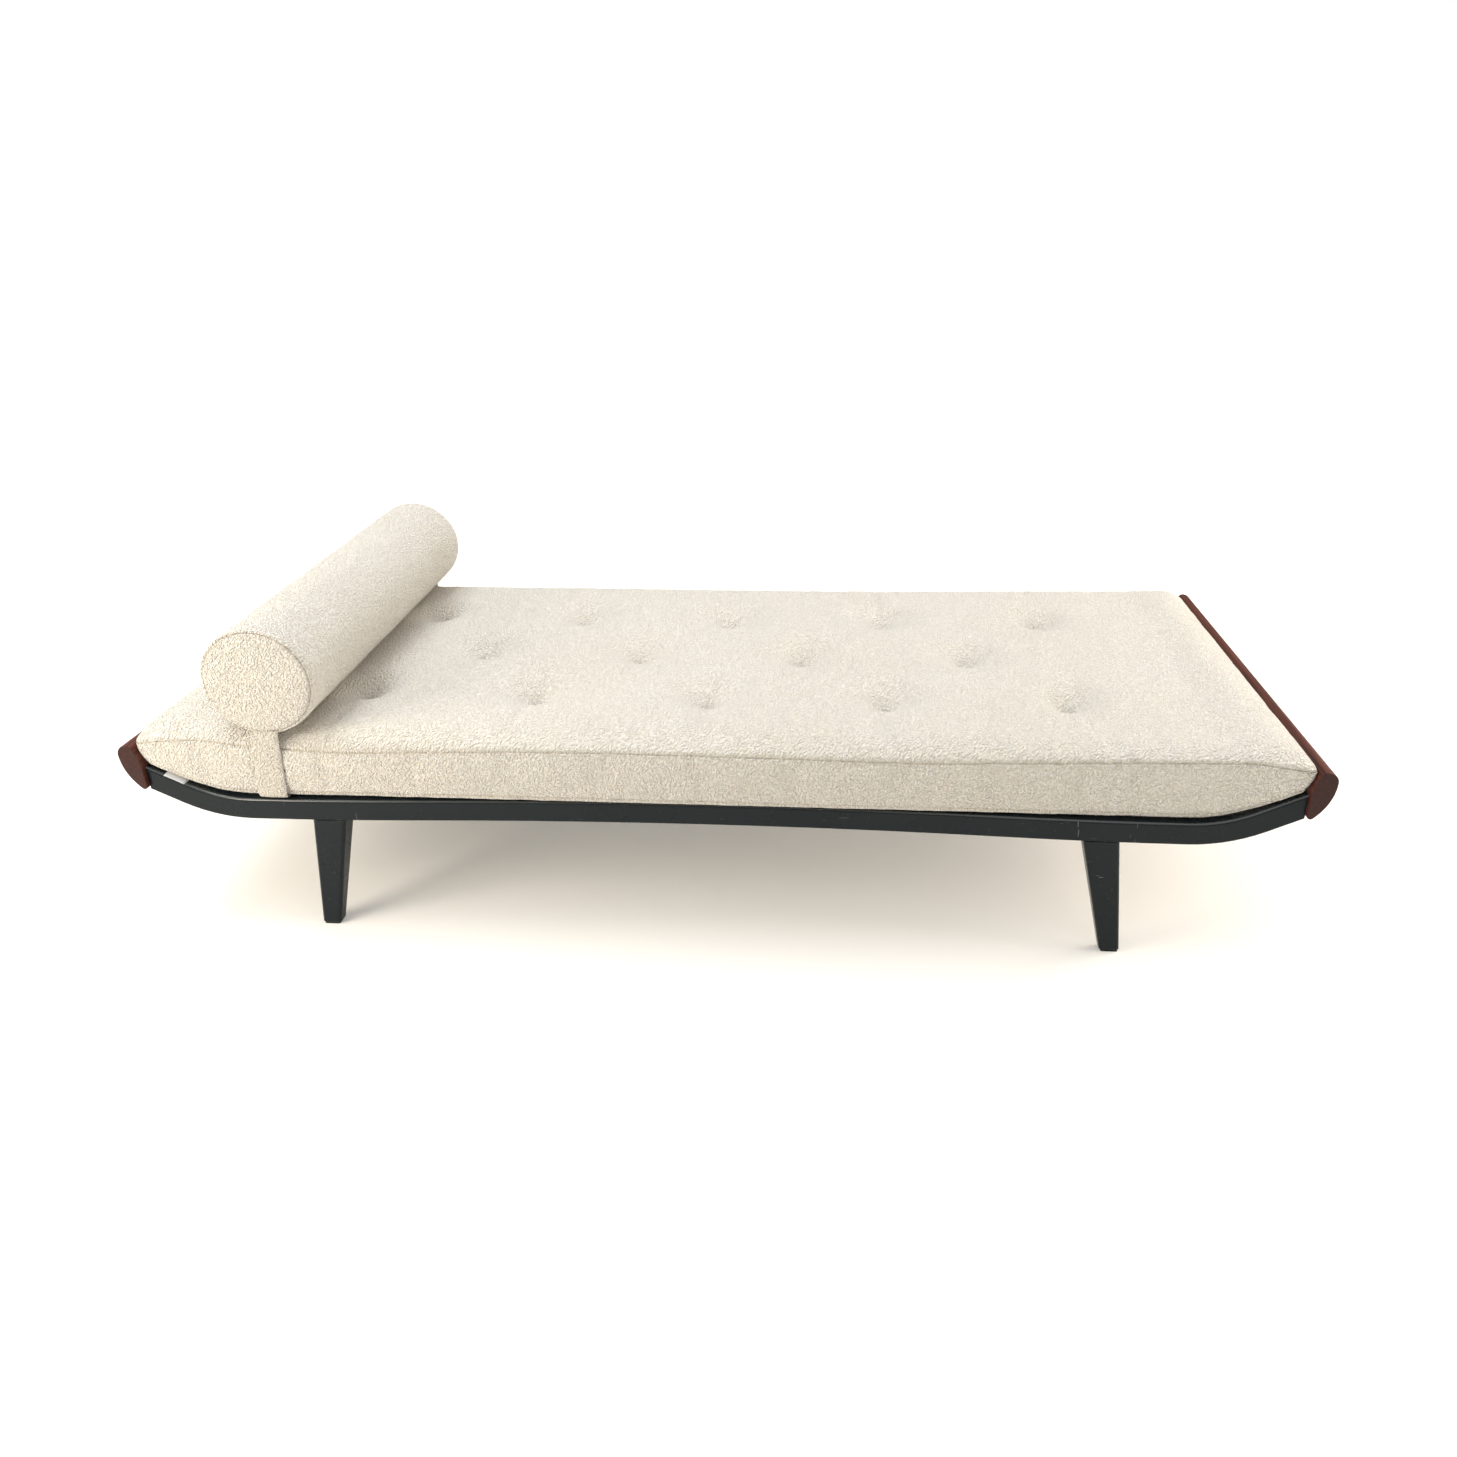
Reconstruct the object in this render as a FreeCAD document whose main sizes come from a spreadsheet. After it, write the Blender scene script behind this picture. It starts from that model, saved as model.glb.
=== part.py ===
import FreeCAD, Part
import math
import os

import Sketcher

# Low daybed: two pressed steel side rails that turn up at their ends into wooden end rails,
# four folded tapered legs, a link mesh between the rails, a tufted mattress and a strapped bolster.
# Row frame: +X along the bed towards its foot end, +Y towards its back, +Z up.
# The origin is on the floor under the middle of the bed. Millimetres.

DRIVING = {
    # side rails
    "rail_face": 392.0,        # from the middle plane to a rail's outer face
    "rail_bottom": 223.0,      # floor to the rail's lower edge
    "rail_height": 38.0,
    "rail_wall": 3.0,
    "rail_round": 5.0,         # outside radius of the rail's top edge
    "flange_width": 26.0,
    "bend_start": 790.0,       # where the rail starts to turn up
    "bend_radius": 270.0,      # of the rail's lower edge
    "end_slope": 0.5,          # rise over run of the turned-up end
    "bow_depth": 20.0,         # how far the mesh's pull draws a rail in at mid-length
    "bow_reach": 780.0,        # where the inward bow starts
    "bow_turn": 500.0,         # where its curvature changes side
    # wooden end rails
    "end_reach": 1000.0,       # half the overall length
    "end_half_width": 400.0,
    "end_face": 963.0,         # the inner face, which the side rails butt against
    "end_toe_round": 5.5,
    "end_belly": 346.5,        # height of the widest point
    "end_belly_round": 89.4,
    "end_crown_round": 18.5,
    "end_top_round": 9.0,
    "end_lean_start": 325.0,
    "end_lean_round": 62.0,
    "end_arris": 1.6,
    # end brackets and their screws
    "bracket_wall": 3.0,
    "bracket_low": 284.0,
    "bracket_height": 16.0,
    "bracket_inset": 0.4,
    "bracket_span": 40.0,
    "bracket_arm": 26.0,
    "screw_first": 13.0,       # from the rail's outer face to the first screw
    "screw_pitch": 20.0,
    "screw_radius": 2.2,
    "screw_slack": 0.1,
    "screw_depth": 13.5,
    "screw_head_radius": 4.4,
    "screw_head_top": 2.8,
    "screw_head": 2.4,
    # legs
    "leg_face": 390.6,         # from the middle plane to a leg's outer face
    "leg_top": 221.5,
    "leg_low": 2.0,
    "leg_top_outer": 684.7,
    "leg_top_inner": 625.9,
    "leg_foot_outer": 707.6,
    "leg_foot_inner": 674.0,
    "leg_top_depth": 36.0,
    "leg_foot_depth": 20.0,
    "leg_wall": 2.5,
    "leg_round": 6.0,
    "leg_toe_round": 4.0,
    # leg brackets, studs, washers, nuts and stretchers
    "mount_middle": 654.8,
    "mount_width": 49.0,
    "mount_wall": 3.0,
    "mount_face": 386.8,
    "mount_low": 216.5,
    "mount_high": 254.0,
    "mount_shelf": 29.0,
    "stud_offset": 18.0,
    "stud_level": 236.0,
    "stud_radius": 3.0,
    "stud_slack": 0.2,
    "stud_seat": 0.1,          # from the bowed wall to a stud's flat end
    "stud_tip": 375.5,
    "washer_radius": 6.2,
    "washer_wall": 1.0,
    "nut_radius": 5.6,
    "nut_height": 5.0,
    "stretcher_width": 22.0,
    "stretcher_wall": 1.5,
    "stretcher_round": 2.5,
    "stretcher_low": 225.0,
    # foot glides
    "glide_inset": 2.4,
    "glide_round": 3.0,
    "glide_stem_radius": 4.0,
    "glide_stem_slack": 0.1,
    "glide_stem_height": 14.0,
    # link mesh
    "mesh_reach": 838.0,
    "mesh_half_width": 345.0,
    "mesh_wall": 3.0,
    "mesh_drop": 0.5,          # from the rail's top down to the mesh's top
    "mesh_rod_radius": 2.5,
    "mesh_rod_reach": 842.5,
    "mesh_rod_gap": 0.2,
    # mattress
    "pad_half_width": 385.0,
    "pad_lift": 3.3,           # from the rail's top to the mattress, room for the strap
    "pad_top": 385.0,
    "pad_foot_reach": 961.5,
    "pad_seam_reach": 966.0,
    "pad_seam": 358.0,
    "pad_crown_round": 26.0,
    "pad_edge_round": 20.0,
    "cover_wall": 2.0,
    "core_gap": 0.3,
    "tuft_pitch": 317.0,
    "tuft_row": 190.0,
    "tuft_shift": -10.0,
    "tie_radius": 1.5,
    "tie_bore": 2.0,
    # care label in the mattress's lower seam
    "label_reach": -915.0,
    "label_length": 36.0,
    "label_width": 16.0,
    "label_wall": 0.6,
    "label_face": 391.0,
    "label_lift": 1.3,
    # bolster and its strap
    "bolster_radius": 95.0,
    "bolster_length": 770.0,
    "bolster_reach": -744.5,
    "bolster_shift": -1.5,
    "bolster_turn": 2.0,       # degrees about the vertical
    "bolster_gap": 0.5,
    "bolster_wall": 2.0,
    "bolster_end_wall": 3.0,
    "strap_reach": -745.5,
    "strap_width": 50.0,
    "strap_wall": 2.5,
    "strap_face": 388.6,
    "strap_low": 261.4,
    "strap_high": 385.4,
    # cutting tools
    "overcut": 1.0,            # how far a cutting tool runs past the surface it opens
    "long_overcut": 5.0,       # the same, where the surface slopes
}
TOUCH = 0.01                   # points closer than this lie on the same plane


class Size:
    """A length that knows its number and the sheet expression that gives it."""

    def __init__(self, number, text):
        self.number = number
        self.text = text

    def combine(self, other, sign, number):
        text = other.text if isinstance(other, Size) else repr(other)
        return Size(number, f"({self.text} {sign} {text})")

    def __add__(self, other):
        return self.combine(other, "+", self.number + plain(other))

    def __sub__(self, other):
        return self.combine(other, "-", self.number - plain(other))

    def __mul__(self, other):
        return self.combine(other, "*", self.number * plain(other))

    def __truediv__(self, other):
        return self.combine(other, "/", self.number / plain(other))

    def __neg__(self):
        return Size(-self.number, f"(-1 * {self.text})")


def plain(size):
    """The number of a Size, or the number itself."""
    return size.number if isinstance(size, Size) else size


def root(size):
    """The square root of a Size."""
    return Size(math.sqrt(size.number), f"sqrt({size.text})")


doc = FreeCAD.newDocument("daybed")
sheet = doc.addObject("Spreadsheet::Sheet", "dims")
for row, (alias, number) in enumerate(DRIVING.items(), start=1):
    sheet.set(f"A{row}", alias)
    sheet.set(f"B{row}", str(number))
    sheet.setAlias(f"B{row}", alias)
doc.recompute()
D = {alias: Size(number, f"dims.{alias}") for alias, number in DRIVING.items()}

PARTS = []


# ---------------------------------------------------------------- helpers

def bind(thing, **sizes):
    """Set properties from Sizes and keep them bound to the sheet."""
    for name, size in sizes.items():
        setattr(thing, name, size.number)
        thing.setExpression(name, size.text)
    return thing


def move(thing, x=None, y=None, z=None):
    """Place an object, its position bound to the sheet."""
    position = thing.Placement.Base
    for axis, size in (("x", x), ("y", y), ("z", z)):
        if size is not None:
            setattr(position, axis, size.number)
    thing.Placement = FreeCAD.Placement(position, thing.Placement.Rotation)
    for axis, size in (("x", x), ("y", y), ("z", z)):
        if size is not None:
            thing.setExpression(f"Placement.Base.{axis}", size.text)
    return thing


def name_part(thing, label):
    """Give a finished sub-part its label and list it for export."""
    thing.Label = label
    PARTS.append(thing)
    return thing


def draw(sketch, outline):
    """Draw a closed outline of (x, y, bend) points, every value bound to the sheet.

    bend is the radius of the arc to the next point, None for a straight side and
    negative where the arc turns clockwise.
    """
    count = len(outline)
    ends = []
    for index, (x, y, bend) in enumerate(outline):
        start = FreeCAD.Vector(x.number, y.number, 0)
        following = outline[(index + 1) % count]
        stop = FreeCAD.Vector(following[0].number, following[1].number, 0)
        if bend is None:
            sketch.addGeometry(Part.LineSegment(start, stop))
            ends.append((1, 2))
            continue
        chord = stop - start
        radius = abs(bend.number)
        lift = math.sqrt(radius ** 2 - (chord.Length / 2) ** 2)
        side = FreeCAD.Vector(-chord.y, chord.x, 0).normalize()
        turn = 1 if bend.number > 0 else -1
        centre = (start + stop) * 0.5 + side * lift * turn
        first, last = (start, stop) if turn > 0 else (stop, start)
        angles = [math.atan2(point.y - centre.y, point.x - centre.x) for point in (first, last)]
        circle = Part.Circle(centre, FreeCAD.Vector(0, 0, 1), radius)
        sketch.addGeometry(Part.ArcOfCircle(circle, angles[0], angles[1]))
        ends.append((1, 2) if turn > 0 else (2, 1))
    for index in range(count):
        following = (index + 1) % count
        sketch.addConstraint(Sketcher.Constraint(
            "Coincident", index, ends[index][1], following, ends[following][0]))
    for index, (x, y, bend) in enumerate(outline):
        for kind, size in (("DistanceX", x), ("DistanceY", y)):
            place = sketch.addConstraint(Sketcher.Constraint(
                kind, -1, 1, index, ends[index][0], size.number))
            sketch.setExpression(f"Constraints[{place}]", size.text)
        if bend is not None:
            size = bend if bend.number > 0 else -bend
            place = sketch.addConstraint(Sketcher.Constraint("Radius", index, size.number))
            sketch.setExpression(f"Constraints[{place}]", size.text)


def sketch_on(body, name, plane, outline, offset=None):
    """A sketch of the outline on one of the body's own planes, or parallel to it."""
    sketch = body.newObject("Sketcher::SketchObject", name)
    support = [item for item in body.Origin.OriginFeatures if item.Role == plane][0]
    sketch.AttachmentSupport = [(support, "")]
    sketch.MapMode = "FlatFace"
    if offset is not None:
        sketch.AttachmentOffset = FreeCAD.Placement(
            FreeCAD.Vector(0, 0, offset.number), FreeCAD.Rotation())
        sketch.setExpression("AttachmentOffset.Base.z", offset.text)
    draw(sketch, outline)
    return sketch


def pad(body, name, sketch, length, symmetric=False, backwards=False):
    """Extrude a sketch into the body."""
    feature = body.newObject("PartDesign::Pad", name)
    feature.Profile = sketch
    bind(feature, Length=length)
    if symmetric:
        feature.SideType = "Symmetric"
    feature.Reversed = backwards
    doc.recompute()
    return feature


def pocket(body, name, sketch, length, symmetric=False, backwards=False):
    """Cut a sketch out of the body, and make sure that it cuts."""
    before = body.Shape.Volume
    feature = body.newObject("PartDesign::Pocket", name)
    feature.Profile = sketch
    bind(feature, Length=length)
    if symmetric:
        feature.SideType = "Symmetric"
    feature.Reversed = backwards
    doc.recompute()
    if body.Shape.Volume > before - 1.0:
        raise RuntimeError(f"{name} removes nothing")
    return feature


def round_edges(body, name, radius, wanted):
    """Fillet the edges of the body that the test picks."""
    base = body.Tip
    edges = [f"Edge{place}" for place, edge in enumerate(base.Shape.Edges, start=1) if wanted(edge)]
    feature = body.newObject("PartDesign::Fillet", name)
    feature.Base = (base, edges)
    bind(feature, Radius=radius)
    doc.recompute()
    return feature


def mirrored(source, label, normal):
    """The mirror image of an object across a middle plane."""
    copy = doc.addObject("Part::Mirroring", label)
    copy.Source = source
    copy.Normal = normal
    copy.Base = FreeCAD.Vector(0, 0, 0)
    doc.recompute()
    return copy


def box(name, length, width, height, x, y, z):
    """A box with its low corner placed."""
    return move(bind(doc.addObject("Part::Box", name), Length=length, Width=width, Height=height),
                x, y, z)


def rod(name, radius, height, x, y, z, direction):
    """A cylinder whose base centre is placed and whose axis runs along direction."""
    thing = bind(doc.addObject("Part::Cylinder", name), Radius=radius, Height=height)
    turn = FreeCAD.Rotation(FreeCAD.Vector(0, 0, 1), direction)
    thing.Placement = FreeCAD.Placement(FreeCAD.Vector(0, 0, 0), turn)
    return move(thing, x, y, z)


def group(name, members):
    """Separate solids kept as one object."""
    compound = doc.addObject("Part::Compound", name)
    compound.Links = members
    doc.recompute()
    return compound


def cut(name, base, tool):
    """The base without the tool."""
    feature = doc.addObject("Part::Cut", name)
    feature.Base = base
    feature.Tool = tool
    doc.recompute()
    return feature


def four_ways(source, stem):
    """The source is at the foot end's front: name it and its three mirror images."""
    name_part(source, f"{stem}_foot_front")
    back = name_part(mirrored(source, f"{stem}_foot_back_image", ACROSS), f"{stem}_foot_back")
    name_part(mirrored(source, f"{stem}_head_front_image", ALONG), f"{stem}_head_front")
    name_part(mirrored(back, f"{stem}_head_back_image", ALONG), f"{stem}_head_back")


def group_four_ways(source, stem):
    """One object that holds the source and its three mirror images."""
    back = mirrored(source, f"{stem}_foot_back", ACROSS)
    ahead = mirrored(source, f"{stem}_head_front", ALONG)
    far = mirrored(back, f"{stem}_head_back", ALONG)
    return name_part(group(f"{stem}_group", [source, back, ahead, far]), stem)


ALONG = FreeCAD.Vector(1, 0, 0)
ACROSS = FreeCAD.Vector(0, 1, 0)
UP = FreeCAD.Vector(0, 0, 1)
ZERO = Size(0.0, "0")


# ---------------------------------------------------------------- the rail's line

slope_length = root(D["end_slope"] * D["end_slope"] + 1)
bend_sine = D["end_slope"] / slope_length
bend_cosine = Size(1.0, "1") / slope_length
bend_centre = D["rail_bottom"] + D["bend_radius"]
rail_top = D["rail_bottom"] + D["rail_height"]


def bend_end(height):
    """Where the bend meets the straight end, on the line at this height above the rail's bottom."""
    radius = D["bend_radius"] - height
    return D["bend_start"] + radius * bend_sine, bend_centre - radius * bend_cosine


def on_slope(height, reach):
    """Level of that line on the straight turned-up end."""
    x, z = bend_end(height)
    return z + (reach - x) * D["end_slope"]


def on_bend(height, reach):
    """Level of that line inside the bend."""
    radius = D["bend_radius"] - height
    run = reach - D["bend_start"]
    return bend_centre - root(radius * radius - run * run)


# ---------------------------------------------------------------- side rails

def rail_line():
    """The outer lower edge of the front rail, from the head end to the foot end."""
    face = -plain(D["rail_face"])
    low = plain(D["rail_bottom"])
    bow_reach, bow_turn = plain(D["bow_reach"]), plain(D["bow_turn"])
    steepness = 2 * plain(D["bow_depth"]) / bow_reach
    middle_radius = bow_turn / steepness
    outer_radius = (bow_reach - bow_turn) / steepness
    turn_depth = outer_radius - math.sqrt(outer_radius ** 2 - (bow_reach - bow_turn) ** 2)

    def bowed(x):
        run = bow_reach - abs(x)
        if run <= 0:
            return FreeCAD.Vector(x, face, low)
        if abs(x) >= bow_turn:
            return FreeCAD.Vector(x, face + outer_radius - math.sqrt(outer_radius ** 2 - run ** 2), low)
        rise = math.sqrt(middle_radius ** 2 - x ** 2) - math.sqrt(middle_radius ** 2 - bow_turn ** 2)
        return FreeCAD.Vector(x, face + turn_depth + rise, low)

    def raised(x, z):
        return FreeCAD.Vector(x, face, plain(z))

    bend_x, bend_z = bend_end(ZERO)
    start = plain(D["bend_start"])
    middle = (start + plain(bend_x)) / 2
    middle_z = on_bend(ZERO, Size(middle, repr(middle)))
    tip = plain(D["end_reach"]) - plain(D["end_crown_round"])
    tip_z = on_slope(ZERO, Size(tip, repr(tip)))
    between = (bow_reach + bow_turn) / 2
    half = [
        ((bowed(0), bowed(bow_turn / 2), bowed(bow_turn)), True),
        ((bowed(bow_turn), bowed(between), bowed(bow_reach)), True),
        ((bowed(bow_reach), None, bowed(start)), False),
        ((bowed(start), raised(middle, middle_z), raised(plain(bend_x), bend_z)), True),
        ((raised(plain(bend_x), bend_z), None, raised(tip, tip_z)), False),
    ]

    def edge(points, curved, sign):
        spots = [point and FreeCAD.Vector(sign * point.x, point.y, point.z) for point in points]
        if sign < 0:
            spots.reverse()
        if curved:
            return Part.Arc(*spots).toShape()
        return Part.LineSegment(spots[0], spots[2]).toShape()

    edges = [edge(points, curved, -1) for points, curved in reversed(half)]
    edges += [edge(points, curved, 1) for points, curved in half]
    return Part.Wire(edges)


line = doc.addObject("Part::Feature", "rail_line")
line.Shape = rail_line()

rail_section = doc.addObject("Sketcher::SketchObject", "rail_section")
wall, bend = D["rail_wall"], D["rail_round"]
draw(rail_section, [
    (ZERO, ZERO, None),
    (ZERO, D["rail_height"] - bend, -bend),
    (bend, D["rail_height"], None),
    (D["flange_width"], D["rail_height"], None),
    (D["flange_width"], D["rail_height"] - wall, None),
    (bend, D["rail_height"] - wall, bend - wall),
    (wall, D["rail_height"] - bend, None),
    (wall, ZERO, None),
])
start = line.Shape.OrderedVertexes[0].Point
height_axis = FreeCAD.Vector(plain(D["end_slope"]), 0, 1).normalize()
travel_axis = ACROSS.cross(height_axis)
rail_section.Placement = FreeCAD.Placement(FreeCAD.Matrix(
    ACROSS.x, height_axis.x, travel_axis.x, start.x,
    ACROSS.y, height_axis.y, travel_axis.y, start.y,
    ACROSS.z, height_axis.z, travel_axis.z, start.z,
    0, 0, 0, 1))

rail_sweep = doc.addObject("Part::Sweep", "rail_sweep")
rail_sweep.Sections = [rail_section]
rail_sweep.Spine = (line, [f"Edge{place}" for place in range(1, len(line.Shape.Edges) + 1)])
rail_sweep.Solid = True
doc.recompute()

trim = D["end_reach"] - D["end_face"]
rail_trims = group("rail_trims", [
    box(f"rail_trim_{end}", trim, D["end_half_width"], rail_top, x, -D["end_half_width"],
        D["rail_bottom"])
    for end, x in (("foot", D["end_face"]), ("head", -D["end_reach"]))
])
side_rail = name_part(cut("rail_trimmed", rail_sweep, rail_trims), "side_rail_front")
name_part(mirrored(side_rail, "rail_image", ACROSS), "side_rail_back")


# ---------------------------------------------------------------- wooden end rails

end_body = doc.addObject("PartDesign::Body", "end_rail_body")
end_top = D["end_belly"] + D["end_crown_round"]
crown_x = D["end_reach"] - D["end_crown_round"]
top_centre_z = end_top - D["end_top_round"]
lean_centre_x = D["end_face"] + D["end_lean_round"]
blend_run = D["end_lean_round"] - D["end_top_round"]
touch_x = crown_x + (crown_x - lean_centre_x) * D["end_top_round"] / blend_run
touch_z = top_centre_z + (top_centre_z - D["end_lean_start"]) * D["end_top_round"] / blend_run
belly_centre_x = D["end_reach"] - D["end_belly_round"]
toe_radii = D["end_belly_round"] - D["end_toe_round"]
toe_run = D["end_face"] + D["end_toe_round"] - belly_centre_x
toe_drop = root(toe_radii * toe_radii - toe_run * toe_run)
end_outline = [
    (D["end_face"], D["end_lean_start"], None),
    (D["end_face"], D["end_belly"] - toe_drop, D["end_toe_round"]),
    (belly_centre_x + toe_run * D["end_belly_round"] / toe_radii,
     D["end_belly"] - toe_drop * D["end_belly_round"] / toe_radii, D["end_belly_round"]),
    (D["end_reach"], D["end_belly"], D["end_crown_round"]),
    (crown_x, end_top, D["end_top_round"]),
    (touch_x, touch_z, D["end_lean_round"]),
]
end_sketch = sketch_on(end_body, "end_rail_section", "XZ_Plane", end_outline)
pad(end_body, "end_rail_length", end_sketch, D["end_half_width"] * 2, symmetric=True)
round_edges(end_body, "end_rail_arris", D["end_arris"], lambda edge: all(
    abs(abs(vertex.Point.y) - plain(D["end_half_width"])) < TOUCH for vertex in edge.Vertexes))

screw_y = [-D["rail_face"] + D["screw_first"], -D["rail_face"] + D["screw_first"] + D["screw_pitch"]]
screw_z = D["bracket_low"] + D["bracket_height"] / 2
bore_start = D["end_face"] - D["bracket_wall"] - D["overcut"]
bore_length = D["screw_depth"] + D["bracket_wall"] + 1.2
pilots = []
for side in (1, -1):
    for place, y in enumerate(screw_y):
        pilots.append(rod(f"pilot_{side + 1}_{place}", D["screw_radius"] + D["screw_slack"],
                          bore_length, bore_start, y if side > 0 else -y, screw_z, ALONG))
pilot_bores = group("pilot_bores", pilots)
end_rail = name_part(cut("end_rail_bored", end_body, pilot_bores), "end_rail_foot")
name_part(mirrored(end_rail, "end_rail_image", ALONG), "end_rail_head")


# ---------------------------------------------------------------- end brackets and screws

bracket_body = doc.addObject("PartDesign::Body", "bracket_body")
bracket_y = -D["rail_face"] + D["rail_wall"] + D["bracket_inset"]
bracket_outline = [
    (D["end_face"] - D["bracket_arm"], bracket_y, None),
    (D["end_face"], bracket_y, None),
    (D["end_face"], bracket_y + D["bracket_span"], None),
    (D["end_face"] - D["bracket_wall"], bracket_y + D["bracket_span"], None),
    (D["end_face"] - D["bracket_wall"], bracket_y + D["bracket_wall"], None),
    (D["end_face"] - D["bracket_arm"], bracket_y + D["bracket_wall"], None),
]
bracket_sketch = sketch_on(bracket_body, "bracket_plan", "XY_Plane", bracket_outline, D["bracket_low"])
pad(bracket_body, "bracket_pad", bracket_sketch, D["bracket_height"])
four_ways(cut("bracket_bored", bracket_body, pilot_bores), "end_bracket")

screws = []
for place, y in enumerate(screw_y):
    seat = D["end_face"] - D["bracket_wall"]
    shank = rod(f"screw_shank_{place}", D["screw_radius"], D["screw_depth"] + D["bracket_wall"],
                seat, y, screw_z, ALONG)
    head = bind(doc.addObject("Part::Cone", f"screw_head_{place}"), Radius1=D["screw_head_top"],
                Radius2=D["screw_head_radius"], Height=D["screw_head"])
    head.Placement = FreeCAD.Placement(FreeCAD.Vector(0, 0, 0), FreeCAD.Rotation(UP, ALONG))
    move(head, seat - D["screw_head"], y, screw_z)
    screw = doc.addObject("Part::Fuse", f"screw_{place}")
    screw.Base = shank
    screw.Tool = head
    screws.append(screw)
group_four_ways(group("screw_pair", screws), "end_rail_screws")


# ---------------------------------------------------------------- legs

leg_body = doc.addObject("PartDesign::Body", "leg_body")
leg_sketch = sketch_on(leg_body, "leg_front", "XZ_Plane", [
    (D["leg_top_inner"], D["leg_top"], None),
    (D["leg_foot_inner"], D["leg_low"], None),
    (D["leg_foot_outer"], D["leg_low"], None),
    (D["leg_top_outer"], D["leg_top"], None),
], D["leg_face"])
pad(leg_body, "leg_block", leg_sketch, D["leg_top_depth"], backwards=True)
foot_y = D["leg_foot_depth"] - D["leg_face"]
top_y = D["leg_top_depth"] - D["leg_face"]
taper_sketch = sketch_on(leg_body, "leg_side", "YZ_Plane", [
    (foot_y, D["leg_low"] - D["overcut"], None),
    (top_y + D["overcut"], D["leg_low"] - D["overcut"], None),
    (top_y + D["overcut"], D["leg_top"], None),
    (top_y, D["leg_top"], None),
    (foot_y, D["leg_low"], None),
])
pocket(leg_body, "leg_taper", taper_sketch, D["leg_foot_outer"] * 2 + 10, symmetric=True)


def is_front_edge(edge):
    """The two long edges of the leg's outer face."""
    low, high = sorted(vertex.Point.z for vertex in edge.Vertexes)
    on_face = all(abs(vertex.Point.y + plain(D["leg_face"])) < TOUCH for vertex in edge.Vertexes)
    return on_face and high - low > plain(D["leg_top"]) / 2


def is_toe_edge(edge):
    """The two short edges across the leg's foot."""
    spots = [vertex.Point for vertex in edge.Vertexes]
    low = all(abs(spot.z - plain(D["leg_low"])) < TOUCH for spot in spots)
    return low and abs(spots[0].x - spots[-1].x) < TOUCH


round_edges(leg_body, "leg_toe_rounding", D["leg_toe_round"], is_toe_edge)
round_edges(leg_body, "leg_face_rounding", D["leg_round"], is_front_edge)
hollow_sketch = sketch_on(leg_body, "leg_hollow_front", "XZ_Plane", [
    (D["leg_top_inner"] + D["leg_wall"], D["leg_top"] + D["overcut"], None),
    (D["leg_foot_inner"] + D["leg_wall"], D["leg_low"] + D["leg_wall"], None),
    (D["leg_foot_outer"] - D["leg_wall"], D["leg_low"] + D["leg_wall"], None),
    (D["leg_top_outer"] - D["leg_wall"], D["leg_top"] + D["overcut"], None),
], D["leg_face"] - D["leg_wall"])
pocket(leg_body, "leg_hollow", hollow_sketch, D["leg_top_depth"] + D["long_overcut"])
stem_x = (D["leg_foot_inner"] + D["leg_foot_outer"]) / 2
stem_y = -D["leg_face"] + D["leg_foot_depth"] / 2
stem_bore = rod("glide_stem_bore", D["glide_stem_radius"] + D["glide_stem_slack"],
                D["glide_stem_height"], stem_x, stem_y, ZERO, UP)
four_ways(cut("leg_bored", leg_body, stem_bore), "leg")


# ---------------------------------------------------------------- leg brackets and stretchers

def stud_rods(stem, radius):
    """The two stud axes of one leg as rods of a given radius."""
    rods = []
    for sign in (1, -1):
        x = D["mount_middle"] + D["stud_offset"] * sign
        run = D["bow_reach"] - x
        radius_of_bow = (D["bow_reach"] - D["bow_turn"]) * (D["bow_reach"]) / (D["bow_depth"] * 2)
        drawn_in = run * run / (radius_of_bow * 2)
        base = -D["rail_face"] + D["rail_wall"] + drawn_in + D["stud_seat"]
        rods.append(rod(f"{stem}_{sign + 1}", radius, -D["stud_tip"] - base, x, base,
                        D["stud_level"], ACROSS))
    return rods


mount_body = doc.addObject("PartDesign::Body", "mount_body")
mount_sketch = sketch_on(mount_body, "mount_side", "YZ_Plane", [
    (-D["mount_face"], D["mount_low"], None),
    (-D["mount_face"] + D["mount_shelf"], D["mount_low"], None),
    (-D["mount_face"] + D["mount_shelf"], D["mount_low"] + D["mount_wall"], None),
    (-D["mount_face"] + D["mount_wall"], D["mount_low"] + D["mount_wall"], None),
    (-D["mount_face"] + D["mount_wall"], D["mount_high"], None),
    (-D["mount_face"], D["mount_high"], None),
], D["mount_middle"])
pad(mount_body, "mount_pad", mount_sketch, D["mount_width"], symmetric=True)
stud_bores = group("stud_bores", stud_rods("stud_bore", D["stud_radius"] + D["stud_slack"]))
four_ways(cut("mount_bored", mount_body, stud_bores), "leg_bracket")

group_four_ways(group("stud_pair", stud_rods("stud", D["stud_radius"])), "leg_studs")

washer_y = -D["mount_face"] + D["mount_wall"]
nut_y = washer_y + D["washer_wall"]
washers, nuts = [], []
for sign in (1, -1):
    stud_x = D["mount_middle"] + D["stud_offset"] * sign
    washers.append(rod(f"washer_{sign + 1}", D["washer_radius"], D["washer_wall"],
                       stud_x, washer_y, D["stud_level"], ACROSS))
    nut = bind(doc.addObject("Part::Prism", f"nut_{sign + 1}"), Circumradius=D["nut_radius"],
               Height=D["nut_height"])
    nut.Polygon = 6
    nut.Placement = FreeCAD.Placement(FreeCAD.Vector(0, 0, 0), FreeCAD.Rotation(UP, ACROSS))
    nuts.append(move(nut, stud_x, nut_y, D["stud_level"]))
for stem, members in (("leg_washers", washers), ("leg_nuts", nuts)):
    group_four_ways(cut(f"{stem}_bored", group(f"{stem}_blanks", members), stud_bores), stem)

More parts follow.
